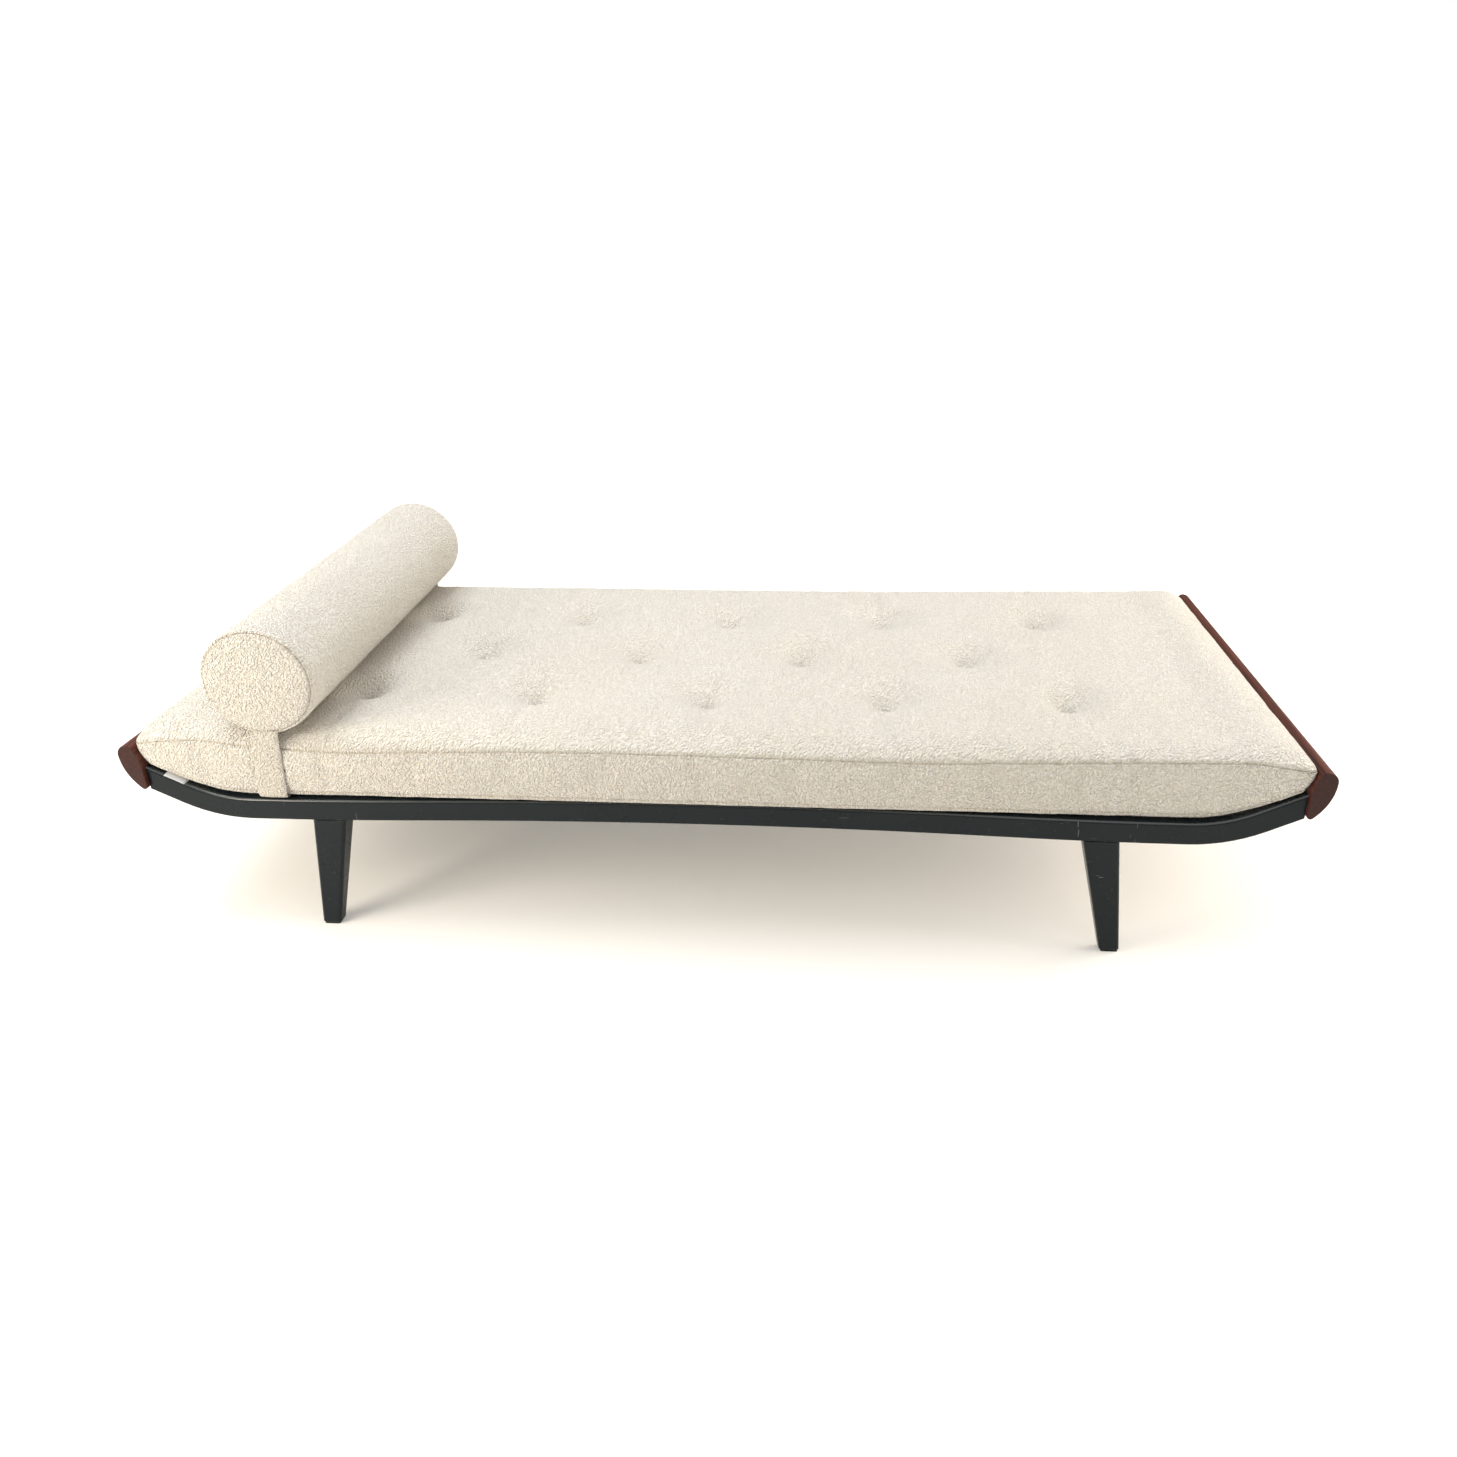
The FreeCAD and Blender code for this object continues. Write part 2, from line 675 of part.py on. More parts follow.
stretcher_body = doc.addObject("PartDesign::Body", "stretcher_body")
half = D["stretcher_width"] / 2
stretcher_sketch = sketch_on(stretcher_body, "stretcher_section", "XZ_Plane", [
    (D["mount_middle"] - half, D["stretcher_low"], None),
    (D["mount_middle"] + half, D["stretcher_low"], None),
    (D["mount_middle"] + half, D["stretcher_low"] + D["stretcher_width"], None),
    (D["mount_middle"] - half, D["stretcher_low"] + D["stretcher_width"], None),
])
stretcher_length = (D["mount_face"] - D["mount_wall"]) * 2
pad(stretcher_body, "stretcher_pad", stretcher_sketch, stretcher_length, symmetric=True)
round_edges(stretcher_body, "stretcher_rounding", D["stretcher_round"],
            lambda edge: edge.Length > plain(stretcher_length) - 1)
inner = half - D["stretcher_wall"]
stretcher_bore = sketch_on(stretcher_body, "stretcher_bore", "XZ_Plane", [
    (D["mount_middle"] - inner, D["stretcher_low"] + D["stretcher_wall"], None),
    (D["mount_middle"] + inner, D["stretcher_low"] + D["stretcher_wall"], None),
    (D["mount_middle"] + inner, D["stretcher_low"] + D["stretcher_width"] - D["stretcher_wall"], None),
    (D["mount_middle"] - inner, D["stretcher_low"] + D["stretcher_width"] - D["stretcher_wall"], None),
])
pocket(stretcher_body, "stretcher_hollow", stretcher_bore,
       stretcher_length + D["long_overcut"] * 2, symmetric=True)
name_part(stretcher_body, "cross_stretcher_foot")
name_part(mirrored(stretcher_body, "stretcher_image", ALONG), "cross_stretcher_head")


# ---------------------------------------------------------------- foot glides

glide_body = doc.addObject("PartDesign::Body", "glide_body")
inset = D["glide_inset"]
near = -D["leg_face"] + inset
far = -D["leg_face"] + D["leg_foot_depth"] - inset
glide_sketch = sketch_on(glide_body, "glide_plan", "XY_Plane", [
    (D["leg_foot_inner"] + inset, near, None),
    (D["leg_foot_outer"] - inset, near, None),
    (D["leg_foot_outer"] - inset, far, None),
    (D["leg_foot_inner"] + inset, far, None),
])
pad(glide_body, "glide_pad", glide_sketch, D["leg_low"])
round_edges(glide_body, "glide_rounding", D["glide_round"], lambda edge: abs(
    edge.Vertexes[0].Point.z - edge.Vertexes[-1].Point.z) > 1)
glide = doc.addObject("Part::Fuse", "glide_with_stem")
glide.Base = glide_body
glide.Tool = rod("glide_stem", D["glide_stem_radius"], D["glide_stem_height"] - 1, stem_x, stem_y,
                 ZERO, UP)
doc.recompute()
four_ways(glide, "foot_glide")


# ---------------------------------------------------------------- link mesh

mesh_high = D["rail_height"] - D["mesh_drop"]
mesh_low = mesh_high - D["mesh_wall"]
mesh_body = doc.addObject("PartDesign::Body", "mesh_body")
mesh_outline = [
    (-D["bend_start"], D["rail_bottom"] + mesh_low, None),
    (D["bend_start"], D["rail_bottom"] + mesh_low, D["bend_radius"] - mesh_low),
    (D["mesh_reach"], on_bend(mesh_low, D["mesh_reach"]), None),
    (D["mesh_reach"], on_bend(mesh_high, D["mesh_reach"]), mesh_high - D["bend_radius"]),
    (D["bend_start"], D["rail_bottom"] + mesh_high, None),
    (-D["bend_start"], D["rail_bottom"] + mesh_high, mesh_high - D["bend_radius"]),
    (-D["mesh_reach"], on_bend(mesh_high, D["mesh_reach"]), None),
    (-D["mesh_reach"], on_bend(mesh_low, D["mesh_reach"]), D["bend_radius"] - mesh_low),
]
mesh_sketch = sketch_on(mesh_body, "mesh_side", "XZ_Plane", mesh_outline)
pad(mesh_body, "mesh_pad", mesh_sketch, D["mesh_half_width"] * 2, symmetric=True)
name_part(mesh_body, "link_mesh")

rod_level = on_bend(D["rail_height"] - D["rail_wall"] / 2, D["mesh_rod_reach"])
rod_half = D["rail_face"] - D["flange_width"] - D["mesh_rod_gap"]
for end, sign in (("foot", 1), ("head", -1)):
    reach = D["mesh_rod_reach"] * sign
    name_part(rod(f"mesh_rod_{end}_bar", D["mesh_rod_radius"], rod_half * 2, reach, -rod_half,
                  rod_level, ACROSS), f"mesh_end_rod_{end}")


# ---------------------------------------------------------------- mattress

def mattress_block(stem, inset):
    """The mattress's form, drawn in by inset on every side."""
    body = doc.addObject("PartDesign::Body", f"{stem}_body")
    height = D["rail_height"] + D["pad_lift"] + inset
    foot_x = D["pad_foot_reach"] - inset
    seam_x = D["pad_seam_reach"] - inset
    crown = D["pad_crown_round"]
    top = D["pad_top"] - inset
    bend_x, bend_z = bend_end(height)
    side = [
        (D["bend_start"], D["rail_bottom"] + height, D["bend_radius"] - height),
        (bend_x, bend_z, None),
        (foot_x, on_slope(height, foot_x), None),
        (seam_x, D["pad_seam"], crown),
        (seam_x - crown, top, None),
    ]
    mirror = [(-x, z) for x, z, turn in reversed(side)]
    turns = [turn for x, z, turn in reversed(side)][1:] + [None]
    outline = side + [(x, z, turn) for (x, z), turn in zip(mirror, turns)]
    sketch = sketch_on(body, f"{stem}_side", "XZ_Plane", outline)
    half_width = D["pad_half_width"] - inset
    pad(body, f"{stem}_pad", sketch, half_width * 2, symmetric=True)

    def on_top(edge):
        spots = [vertex.Point for vertex in edge.Vertexes]
        level = sum(spot.z for spot in spots) / len(spots)
        on_side = all(abs(abs(spot.y) - plain(half_width)) < TOUCH for spot in spots)
        return on_side and level > plain(D["end_lean_start"]) + 10

    round_edges(body, f"{stem}_rounding", D["pad_edge_round"] - inset, on_top)
    return body


cover_outside = mattress_block("cover_outside", ZERO)
cover_inside = mattress_block("cover_inside", D["cover_wall"])
name_part(cut("cover_shell", cover_outside, cover_inside), "mattress_cover")

core_inset = D["cover_wall"] + D["core_gap"]
core_blank = mattress_block("core", core_inset)
TUFT_ROWS = ((-1, (-2, -1, 0, 1, 2)), (0, (-1.5, -0.5, 0.5, 1.5)), (1, (-2, -1, 0, 1, 2)))
tie_low = rail_top + D["pad_lift"] + core_inset
tie_length = D["pad_top"] - core_inset - tie_low


def tuft_rods(stem, radius, low, length):
    """One upright rod at each tuft."""
    rods = []
    for row, columns in TUFT_ROWS:
        for column in columns:
            x = D["tuft_pitch"] * column + D["tuft_shift"]
            rods.append(rod(f"{stem}_{len(rods)}", radius, length, x, D["tuft_row"] * row, low, UP))
    return rods


tie_bores = group("tie_bores", tuft_rods(
    "tie_bore", D["tie_bore"], tie_low - D["overcut"], tie_length + D["overcut"] * 2))
name_part(cut("core_bored", core_blank, tie_bores), "mattress_core")
name_part(group("tie_group", tuft_rods("tie", D["tie_radius"], tie_low, tie_length)), "tuft_ties")

label = bind(doc.addObject("Part::Box", "label_box"), Length=D["label_length"],
             Width=D["label_width"], Height=D["label_wall"])
label_slant = math.degrees(math.atan(plain(D["end_slope"])))
label.Placement = FreeCAD.Placement(FreeCAD.Vector(0, 0, 0), FreeCAD.Rotation(ACROSS, label_slant))
label_x = D["label_reach"] - D["label_length"] * bend_cosine / 2
move(label, label_x, -D["label_face"],
     on_slope(D["rail_height"] + D["label_lift"], -label_x))
name_part(label, "care_label")


# ---------------------------------------------------------------- bolster and strap

turn_angle = math.radians(plain(D["bolster_turn"]))
bolster_axis = FreeCAD.Vector(-math.sin(turn_angle), math.cos(turn_angle), 0)
bolster_level = D["pad_top"] + D["bolster_gap"] + D["bolster_radius"]


def bolster_rod(name, radius, length, start):
    """A rod on the bolster's axis, start from the bolster's front end."""
    thing = bind(doc.addObject("Part::Cylinder", name), Radius=radius, Height=length)
    middle = FreeCAD.Vector(plain(D["bolster_reach"]), plain(D["bolster_shift"]), plain(bolster_level))
    base = middle + bolster_axis * (plain(start) - plain(D["bolster_length"]) / 2)
    thing.Placement = FreeCAD.Placement(base, FreeCAD.Rotation(UP, bolster_axis))
    return thing


end_wall = D["bolster_end_wall"]
tube_length = D["bolster_length"] - end_wall * 2
tube = bolster_rod("bolster_tube", D["bolster_radius"], tube_length, end_wall)
tube_bore = bolster_rod("bolster_bore", D["bolster_radius"] - D["bolster_wall"],
                        tube_length + D["overcut"] * 2,
                        end_wall - D["overcut"])
name_part(cut("bolster_shell", tube, tube_bore), "bolster_cover")
core_radius = D["bolster_radius"] - D["bolster_wall"] - D["core_gap"]
name_part(bolster_rod("bolster_filling", core_radius, tube_length, end_wall), "bolster_core")
for side, start in (("front", ZERO), ("back", D["bolster_length"] - end_wall)):
    name_part(bolster_rod(f"bolster_{side}_disc", D["bolster_radius"], end_wall, start),
              f"bolster_end_panel_{side}")

strap_x = D["strap_reach"] - D["strap_width"] / 2
strap_top_of_run = D["strap_low"] + D["strap_wall"]
strap_rise = D["strap_high"] - strap_top_of_run
name_part(box("strap_run", D["strap_width"], D["strap_face"] * 2, D["strap_wall"], strap_x,
              -D["strap_face"], D["strap_low"]), "strap_under")
for side, y in (("front", -D["strap_face"]), ("back", D["strap_face"] - D["strap_wall"])):
    name_part(box(f"strap_{side}_run", D["strap_width"], D["strap_wall"], strap_rise, strap_x, y,
                  strap_top_of_run), f"strap_{side}")


# ---------------------------------------------------------------- checks and export

doc.recompute()
failed = [thing.Name for thing in doc.Objects if {"Invalid", "Error"} & set(thing.State)]
if failed:
    raise RuntimeError(f"objects failed: {failed}")
for thing in PARTS:
    if thing.Shape.isNull() or not thing.Shape.isValid():
        raise RuntimeError(f"{thing.Label} has no valid shape")

os.makedirs("parts", exist_ok=True)
for thing in PARTS:
    thing.Shape.exportStep(f"parts/{thing.Label}.step")
print(f"{len(PARTS)} sub-parts written")
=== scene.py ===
"""The visual model of a steel daybed with a tufted mattress and a strapped bolster, in metres."""

import math

import bmesh
import bpy
import numpy as np
from mathutils import Matrix, Vector


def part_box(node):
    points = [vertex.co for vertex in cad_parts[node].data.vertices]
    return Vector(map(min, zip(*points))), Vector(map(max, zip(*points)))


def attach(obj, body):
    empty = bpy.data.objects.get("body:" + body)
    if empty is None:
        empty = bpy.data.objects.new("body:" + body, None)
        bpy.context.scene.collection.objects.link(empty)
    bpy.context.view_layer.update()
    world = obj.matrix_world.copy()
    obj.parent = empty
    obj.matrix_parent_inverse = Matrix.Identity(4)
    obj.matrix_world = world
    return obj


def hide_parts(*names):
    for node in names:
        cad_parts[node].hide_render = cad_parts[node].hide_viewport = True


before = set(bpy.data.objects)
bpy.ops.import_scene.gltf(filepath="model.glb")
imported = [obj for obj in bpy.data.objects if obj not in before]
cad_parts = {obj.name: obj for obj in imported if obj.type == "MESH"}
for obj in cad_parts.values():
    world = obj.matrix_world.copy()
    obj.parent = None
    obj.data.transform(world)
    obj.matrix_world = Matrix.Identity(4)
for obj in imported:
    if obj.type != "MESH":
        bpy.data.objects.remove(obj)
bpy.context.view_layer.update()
scene = bpy.context.scene
MM = 0.001


# ---------------------------------------------------------------- camera

CAMERA_SPOT = (0.24026, -1.87840, 1.19691)
CAMERA_YAW = math.radians(5.012)
CAMERA_PITCH = math.radians(23.398)
CAMERA_ROLL = math.radians(-1.168)
CAMERA_LENS = 25.95
CAMERA_SENSOR = 36.0
CAMERA_SHIFT = (-0.02513, -0.05213)


def place_camera():
    """Stands the camera where the daybed is seen from in front and above."""
    forward = Vector((-math.sin(CAMERA_YAW) * math.cos(CAMERA_PITCH),
                      math.cos(CAMERA_YAW) * math.cos(CAMERA_PITCH), -math.sin(CAMERA_PITCH)))
    level_right = Vector((math.cos(CAMERA_YAW), math.sin(CAMERA_YAW), 0))
    level_up = level_right.cross(forward)
    right = level_right * math.cos(CAMERA_ROLL) + level_up * math.sin(CAMERA_ROLL)
    up = level_up * math.cos(CAMERA_ROLL) - level_right * math.sin(CAMERA_ROLL)
    data = bpy.data.cameras.new("camera")
    data.lens, data.sensor_width = CAMERA_LENS, CAMERA_SENSOR
    data.shift_x, data.shift_y = CAMERA_SHIFT
    camera = bpy.data.objects.new("camera", data)
    turn = Matrix((right, up, -forward)).transposed().to_4x4()
    camera.matrix_world = Matrix.Translation(CAMERA_SPOT) @ turn
    scene.collection.objects.link(camera)
    scene.camera = camera


place_camera()


# ---------------------------------------------------------------- node materials

def linear(code):
    """A colour written as rrggbb, as the four numbers that a socket takes."""
    channels = [int(code[i:i + 2], 16) / 255 for i in (0, 2, 4)]
    return (*[c / 12.92 if c <= 0.04045 else ((c + 0.055) / 1.055) ** 2.4 for c in channels], 1.0)


class Nodes:
    """A node tree under construction: short calls for the nodes that finishes and the world share."""

    def __init__(self, tree):
        self.tree = tree

    def node(self, kind, settings=None, **inputs):
        """A node with its settings, and its inputs given as values or as sockets to link."""
        made = self.tree.nodes.new(kind)
        for key, value in (settings or {}).items():
            setattr(made, key, value)
        for key, value in inputs.items():
            self.feed(made.inputs[int(key[1:]) if key[0] == "i" and key[1:].isdigit() else key], value)
        return made

    def feed(self, socket, value):
        """Links a socket, or sets it where the value is plain."""
        if isinstance(value, bpy.types.NodeSocket):
            self.tree.links.new(value, socket)
        else:
            socket.default_value = value

    def math(self, operation, a, b=0.0):
        """One sum on two numbers."""
        return self.node("ShaderNodeMath", {"operation": operation}, i0=a, i1=b).outputs[0]

    def spread(self, value, low, high, to_low=0.0, to_high=1.0):
        """Value's range from low to high, mapped on to another and held there."""
        made = self.node("ShaderNodeMapRange", i0=value)
        for key, number in zip(("From Min", "From Max", "To Min", "To Max"),
                               (low, high, to_low, to_high)):
            made.inputs[key].default_value = number
        return made.outputs["Result"]

    def mix(self, share, first, second):
        """Two colours mixed by share."""
        made = self.node("ShaderNodeMix", {"data_type": "RGBA"})
        for index, value in ((0, share), (6, first), (7, second)):
            self.feed(made.inputs[index], value)
        return made.outputs[2]

    def tint(self, colour, mask, share, second):
        """A colour drawn toward a second one, at most by share, where the mask is 1."""
        return self.mix(self.math("MULTIPLY", mask, share), colour, second)


class Finish(Nodes):
    """A material under construction, with its patterns in the object's coordinates."""

    def __init__(self, name, **shader):
        self.material = bpy.data.materials.new(name)
        self.material.use_nodes = True
        super().__init__(self.material.node_tree)
        self.shader = self.tree.nodes["Principled BSDF"]
        for socket, value in shader.items():
            self.shader.inputs[socket.replace("_", " ")].default_value = value
        self.place = self.node("ShaderNodeTexCoord").outputs["Object"]

    def stretched(self, scale, turn=(0, 0, 0)):
        """The object's coordinates, turned and scaled."""
        mapping = self.node("ShaderNodeMapping", Vector=self.place, Scale=scale,
                            Rotation=[math.radians(a) for a in turn])
        return mapping.outputs["Vector"]

    def noise(self, scale, place=None, detail=3.0, roughness=0.5):
        """Noise from 0 to 1."""
        return self.node("ShaderNodeTexNoise", Vector=place or self.place, Scale=scale,
                         Detail=detail, Roughness=roughness).outputs["Fac"]

    def cells(self, scale, place=None, feature="F1", smoothness=None):
        """Distance to the nearest cell centre."""
        made = self.node("ShaderNodeTexVoronoi", {"feature": feature},
                         Vector=place or self.place, Scale=scale)
        if smoothness is not None:
            made.inputs["Smoothness"].default_value = smoothness
        return made.outputs["Distance"]

    def bump(self, height, depth, strength=1.0, under=None):
        """A relief of that depth in metres, on top of another."""
        made = self.node("ShaderNodeBump", Height=height, Distance=depth, Strength=strength)
        if under is not None:
            self.feed(made.inputs["Normal"], under)
        return made.outputs["Normal"]

    def facing(self, axis):
        """How much the surface faces along one of the object's axes, from -1 to 1."""
        normal = self.node("ShaderNodeTexCoord").outputs["Normal"]
        return self.node("ShaderNodeSeparateXYZ", i0=normal).outputs[axis]

    def edges(self, width):
        """1 on sharp edges, 0 on open faces."""
        rounded = self.node("ShaderNodeBevel", {"samples": 4}, Radius=width).outputs["Normal"]
        flat = self.node("ShaderNodeNewGeometry").outputs["Normal"]
        alike = self.node("ShaderNodeVectorMath", {"operation": "DOT_PRODUCT"}, i0=rounded, i1=flat)
        return self.spread(alike.outputs["Value"], 0.97, 0.80)

    def done(self, colour=None, roughness=None, normal=None):
        """Links the results to the shader."""
        for socket, value in (("Base Color", colour), ("Roughness", roughness), ("Normal", normal)):
            if value is not None:
                self.feed(self.shader.inputs[socket], value)
        return self.material


CURL_LEAN = (0.45, 0.35, 0.82)  # the way the cloth's long curls point


def boucle(name, pale, warm, deep, nub=1.0):
    """Looped woollen cloth: plump uneven loops, with shade painted into the hollows between them and
    along the seams.
    """
    f = Finish(name, Sheen_Weight=0.15, Sheen_Roughness=0.5, Specular_IOR_Level=0.12)
    wander = f.node("ShaderNodeTexNoise", Vector=f.place, Scale=170.0, Detail=2.0).outputs["Color"]
    shifted = f.node("ShaderNodeVectorMath", {"operation": "MULTIPLY_ADD"}, i0=wander,
                     i1=(0.0045, 0.0045, 0.0045), i2=f.place).outputs["Vector"]
    lean = Vector(CURL_LEAN).to_track_quat("Z", "Y").to_euler()
    slanted = f.node("ShaderNodeMapping", {"vector_type": "TEXTURE"}, Vector=shifted,
                     Rotation=lean, Scale=(1.0, 1.0, 1.6)).outputs["Vector"]
    loops = f.cells(300.0, slanted, "SMOOTH_F1", 0.3)
    curls = f.cells(540.0, shifted)
    fibre = f.noise(1900.0, detail=2.0)
    height = f.math("SUBTRACT", f.spread(loops, 0.05, 0.80, 1.0, 0.0), f.math("MULTIPLY", curls, 0.40))
    height = f.math("ADD", height, f.math("MULTIPLY", fibre, 0.16))
    patches = f.spread(f.noise(3.2, detail=4.0), 0.3, 0.7)
    flecks = f.spread(f.noise(70.0, detail=2.0), 0.35, 0.68)
    tone = f.tint(linear(pale), patches, 0.4, linear(warm))
    tone = f.tint(tone, flecks, 0.12, linear(warm))
    # Painted shade: the hollows between the loops are drawn toward the deep colour.
    hollow = f.spread(height, 0.34, 0.0, 0.0, 0.36)
    # Painted shade along the seams, as if their grooves were shaded.
    seam = f.node("ShaderNodeAttribute", {"attribute_name": "seam"}).outputs["Fac"]
    line = f.spread(seam, 0.5, 1.0, 0.0, 0.55)
    colour = f.mix(f.math("MAXIMUM", hollow, line), tone, linear(deep))
    normal = f.bump(height, 0.0048 * nub, 1.0)
    return f.done(colour, f.spread(flecks, 0, 1, 0.86, 0.96), normal)


ENAMEL_GLOSS = 0.17


def paint(name, base, pale):
    """Satin enamel on steel: dust, thin scratches, rubbed edges and a bright gloss on top edges."""
    f = Finish(name, Specular_IOR_Level=ENAMEL_GLOSS)
    cloudy = f.spread(f.noise(5.5, detail=5.0), 0.32, 0.7)
    colour = f.tint(linear(base), cloudy, 0.5, linear(pale))
    dust = f.spread(f.noise(240.0, detail=3.0), 0.71, 0.78)
    colour = f.tint(colour, dust, 0.25, linear("8C9190"))
    marks = []
    for turn, stretch in (((0, 38, 12), (0.10, 1.0, 1.0)), ((8, -24, 70), (1.0, 0.9, 0.09))):
        lines = f.spread(f.noise(260.0, f.stretched(stretch, turn), detail=1.0), 0.748, 0.765)
        places = f.spread(f.noise(6.0, f.stretched((1, 1, 1), turn), detail=2.0), 0.57, 0.66)
        marks.append(f.math("MULTIPLY", lines, places))
    marked = f.math("MAXIMUM", *marks)
    patchy = f.spread(f.noise(38.0, detail=4.0), 0.50, 0.68)
    rubbed = f.math("MULTIPLY", f.edges(0.0016), patchy)
    colour = f.tint(colour, marked, 0.35, linear("9A9E9C"))
    colour = f.tint(colour, rubbed, 0.55, linear("6E7472"))
    roughness = f.math("ADD", f.spread(cloudy, 0, 1, 0.24, 0.32), f.math("MULTIPLY", marked, 0.25))
    upturned = f.facing("Z")
    edge = f.math("MULTIPLY", f.spread(upturned, 0.30, 0.55), f.spread(upturned, 0.985, 0.93))
    f.feed(f.shader.inputs["Specular IOR Level"], f.spread(edge, 0, 1, ENAMEL_GLOSS, 1.0))
    peel = f.bump(f.noise(620.0, detail=2.0), 0.00016, 0.5)
    normal = f.bump(marked, -0.0002, 0.6, peel)
    return f.done(colour, roughness, normal)


def timber(name, light, mid, dark):
    """Oiled dark hardwood, its grain along Y, with growth rings that show on the end grain."""
    f = Finish(name, Specular_IOR_Level=0.22)
    along = f.stretched((1.0, 0.055, 1.0))
    warp = f.node("ShaderNodeTexNoise", Vector=along, Scale=9.0, Detail=3.0).outputs["Color"]
    bent = f.node("ShaderNodeVectorMath", {"operation": "MULTIPLY_ADD"}, i0=warp,
                  i1=(0.05, 0.0, 0.05), i2=along).outputs["Vector"]
    off_centre = f.node("ShaderNodeMapping", Vector=bent, Location=(0.17, 0.0, 0.06),
                        Rotation=(math.radians(90), 0, 0)).outputs["Vector"]
    rings = f.node("ShaderNodeTexWave", {"wave_type": "RINGS", "rings_direction": "Z",
                                         "wave_profile": "SAW"},
                   Vector=off_centre, Scale=46.0, Distortion=1.6, Detail=3.0).outputs["Fac"]
    streaks = f.noise(210.0, f.stretched((1.0, 0.020, 1.0)), detail=5.0, roughness=0.62)
    pores = f.spread(f.noise(900.0, f.stretched((1.0, 0.045, 1.0)), detail=2.0), 0.60, 0.72)
    clouds = f.spread(f.noise(7.0, f.stretched((1.0, 0.35, 1.0)), detail=3.0), 0.3, 0.7)
    colour = f.mix(f.spread(rings, 0.1, 0.9), linear(mid), linear(dark))
    colour = f.mix(f.spread(streaks, 0.35, 0.72), colour, linear(light))
    colour = f.tint(colour, clouds, 0.4, linear(mid))
    colour = f.tint(colour, pores, 0.6, linear(dark))
    cut_end = f.spread(f.math("ABSOLUTE", f.facing("Y")), 0.55, 0.9, 0.0, 0.72)
    colour = f.mix(cut_end, colour, linear(dark))
    worn = f.math("MULTIPLY", f.edges(0.0022), f.spread(f.noise(30.0, detail=3.0), 0.45, 0.7))
    colour = f.tint(colour, worn, 0.35, linear(light))
    grain = f.bump(streaks, 0.00025, 0.35)
    normal = f.bump(pores, -0.00022, 0.5, grain)
    return f.done(colour, f.spread(streaks, 0.3, 0.75, 0.34, 0.52), normal)


def metal(name, bright, dull, roughness=(0.28, 0.5), grain=900.0):
    """Plated steel with dull patches and fine drawing marks."""
    f = Finish(name, Metallic=1.0)
    patches = f.spread(f.noise(60.0, detail=5.0), 0.35, 0.68)
    lines = f.noise(grain, f.stretched((0.25, 1.0, 1.0)), detail=3.0)
    colour = f.mix(patches, linear(bright), linear(dull))
    colour = f.tint(colour, lines, 0.25, linear(dull))
    return f.done(colour, f.spread(patches, 0, 1, *roughness), f.bump(lines, 0.00008, 0.5))


def moulded(name, base, scuffed):
    """Moulded polymer with a fine spark-eroded grain and scuffs."""
    f = Finish(name, Specular_IOR_Level=0.4)
    scuffs = f.spread(f.noise(120.0, f.stretched((0.3, 1.0, 1.0)), detail=4.0), 0.55, 0.75)
    colour = f.tint(linear(base), scuffs, 0.5, linear(scuffed))
    normal = f.bump(f.noise(1500.0, detail=2.0), 0.00012, 0.6)
    return f.done(colour, f.spread(scuffs, 0, 1, 0.45, 0.65), normal)


def woven(name, base, shade, threads, depth):
    """Plain weave: warp and weft threads crossing over and under."""
    f = Finish(name, Sheen_Weight=0.12, Sheen_Roughness=0.4, Specular_IOR_Level=0.3)
    waves = [f.node("ShaderNodeTexWave", {"wave_type": "BANDS", "bands_direction": axis},
                    Vector=f.place, Scale=threads, Distortion=0.3).outputs["Fac"] for axis in "XY"]
    weave = f.math("MULTIPLY", *waves)
    fibre = f.noise(2400.0, detail=2.0)
    stains = f.spread(f.noise(40.0, detail=3.0), 0.35, 0.7)
    colour = f.tint(linear(base), weave, 0.5, linear(shade))
    colour = f.tint(colour, stains, 0.2, linear(shade))
    height = f.math("ADD", weave, f.math("MULTIPLY", fibre, 0.3))
    return f.done(colour, f.spread(stains, 0, 1, 0.5, 0.7), f.bump(height, depth, 0.7))


def twine(name, base, shade):
    """Waxed thread with a tight twist."""
    f = Finish(name, Sheen_Weight=0.2, Specular_IOR_Level=0.35)
    twist = f.node("ShaderNodeTexWave", {"wave_type": "BANDS", "bands_direction": "DIAGONAL"},
                   Vector=f.place, Scale=330.0, Distortion=0.4).outputs["Fac"]
    colour = f.tint(linear(base), twist, 0.6, linear(shade))
    return f.done(colour, f.spread(f.noise(500.0), 0.3, 0.7, 0.5, 0.75), f.bump(twist, 0.0003, 0.8))


# Each cloth's last colour is the painted shade of its hollows and seams.
CREAM = boucle("cream_boucle", "F4F0E8", "EFE9DC", "C8B596")
# The strap's cloth is the cream cloth drawn darker all over: painted shade on the strap.
SHADED_CREAM_STRAP = boucle("cream_boucle_strap_shaded", "E7E2D9", "E0D9CC", "C0AD8E", 0.9)
ENAMEL = paint("anthracite_enamel", "151C1F", "1C2427")
WOOD = timber("dark_hardwood", "6A3B2F", "47221A", "29120F")
ZINC = metal("zinc_plate", "B9BBB8", "8A8C8A")
WIRE = metal("spring_wire", "A9ABA9", "6F7271", (0.25, 0.45), 1400.0)
POLYMER = moulded("black_polymer", "17191A", "3B3D3D")
TAPE = woven("satin_tape", "DCDDE0", "B4B6BC", 420.0, 0.0002)
TWINE = twine("tufting_twine", "E9DFC8", "B9A888")

FINISHES = {
    "frame_paint": ENAMEL,
    "end_rail_wood": WOOD,
    "fastener_steel": ZINC,
    "mesh_wire": WIRE,
    "glide_plastic": POLYMER,
    "cream_boucle": CREAM,
    "foam": CREAM,
    "tie_cord": TWINE,
    "label_tape": TAPE,
}


def dress_cad():
    """Gives every CAD node the finish of its material slot."""
    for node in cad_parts.values():
        finish = FINISHES[node.data.materials[0].name]
        node.data.materials.clear()
        node.data.materials.append(finish)


dress_cad()


# ---------------------------------------------------------------- mesh helpers

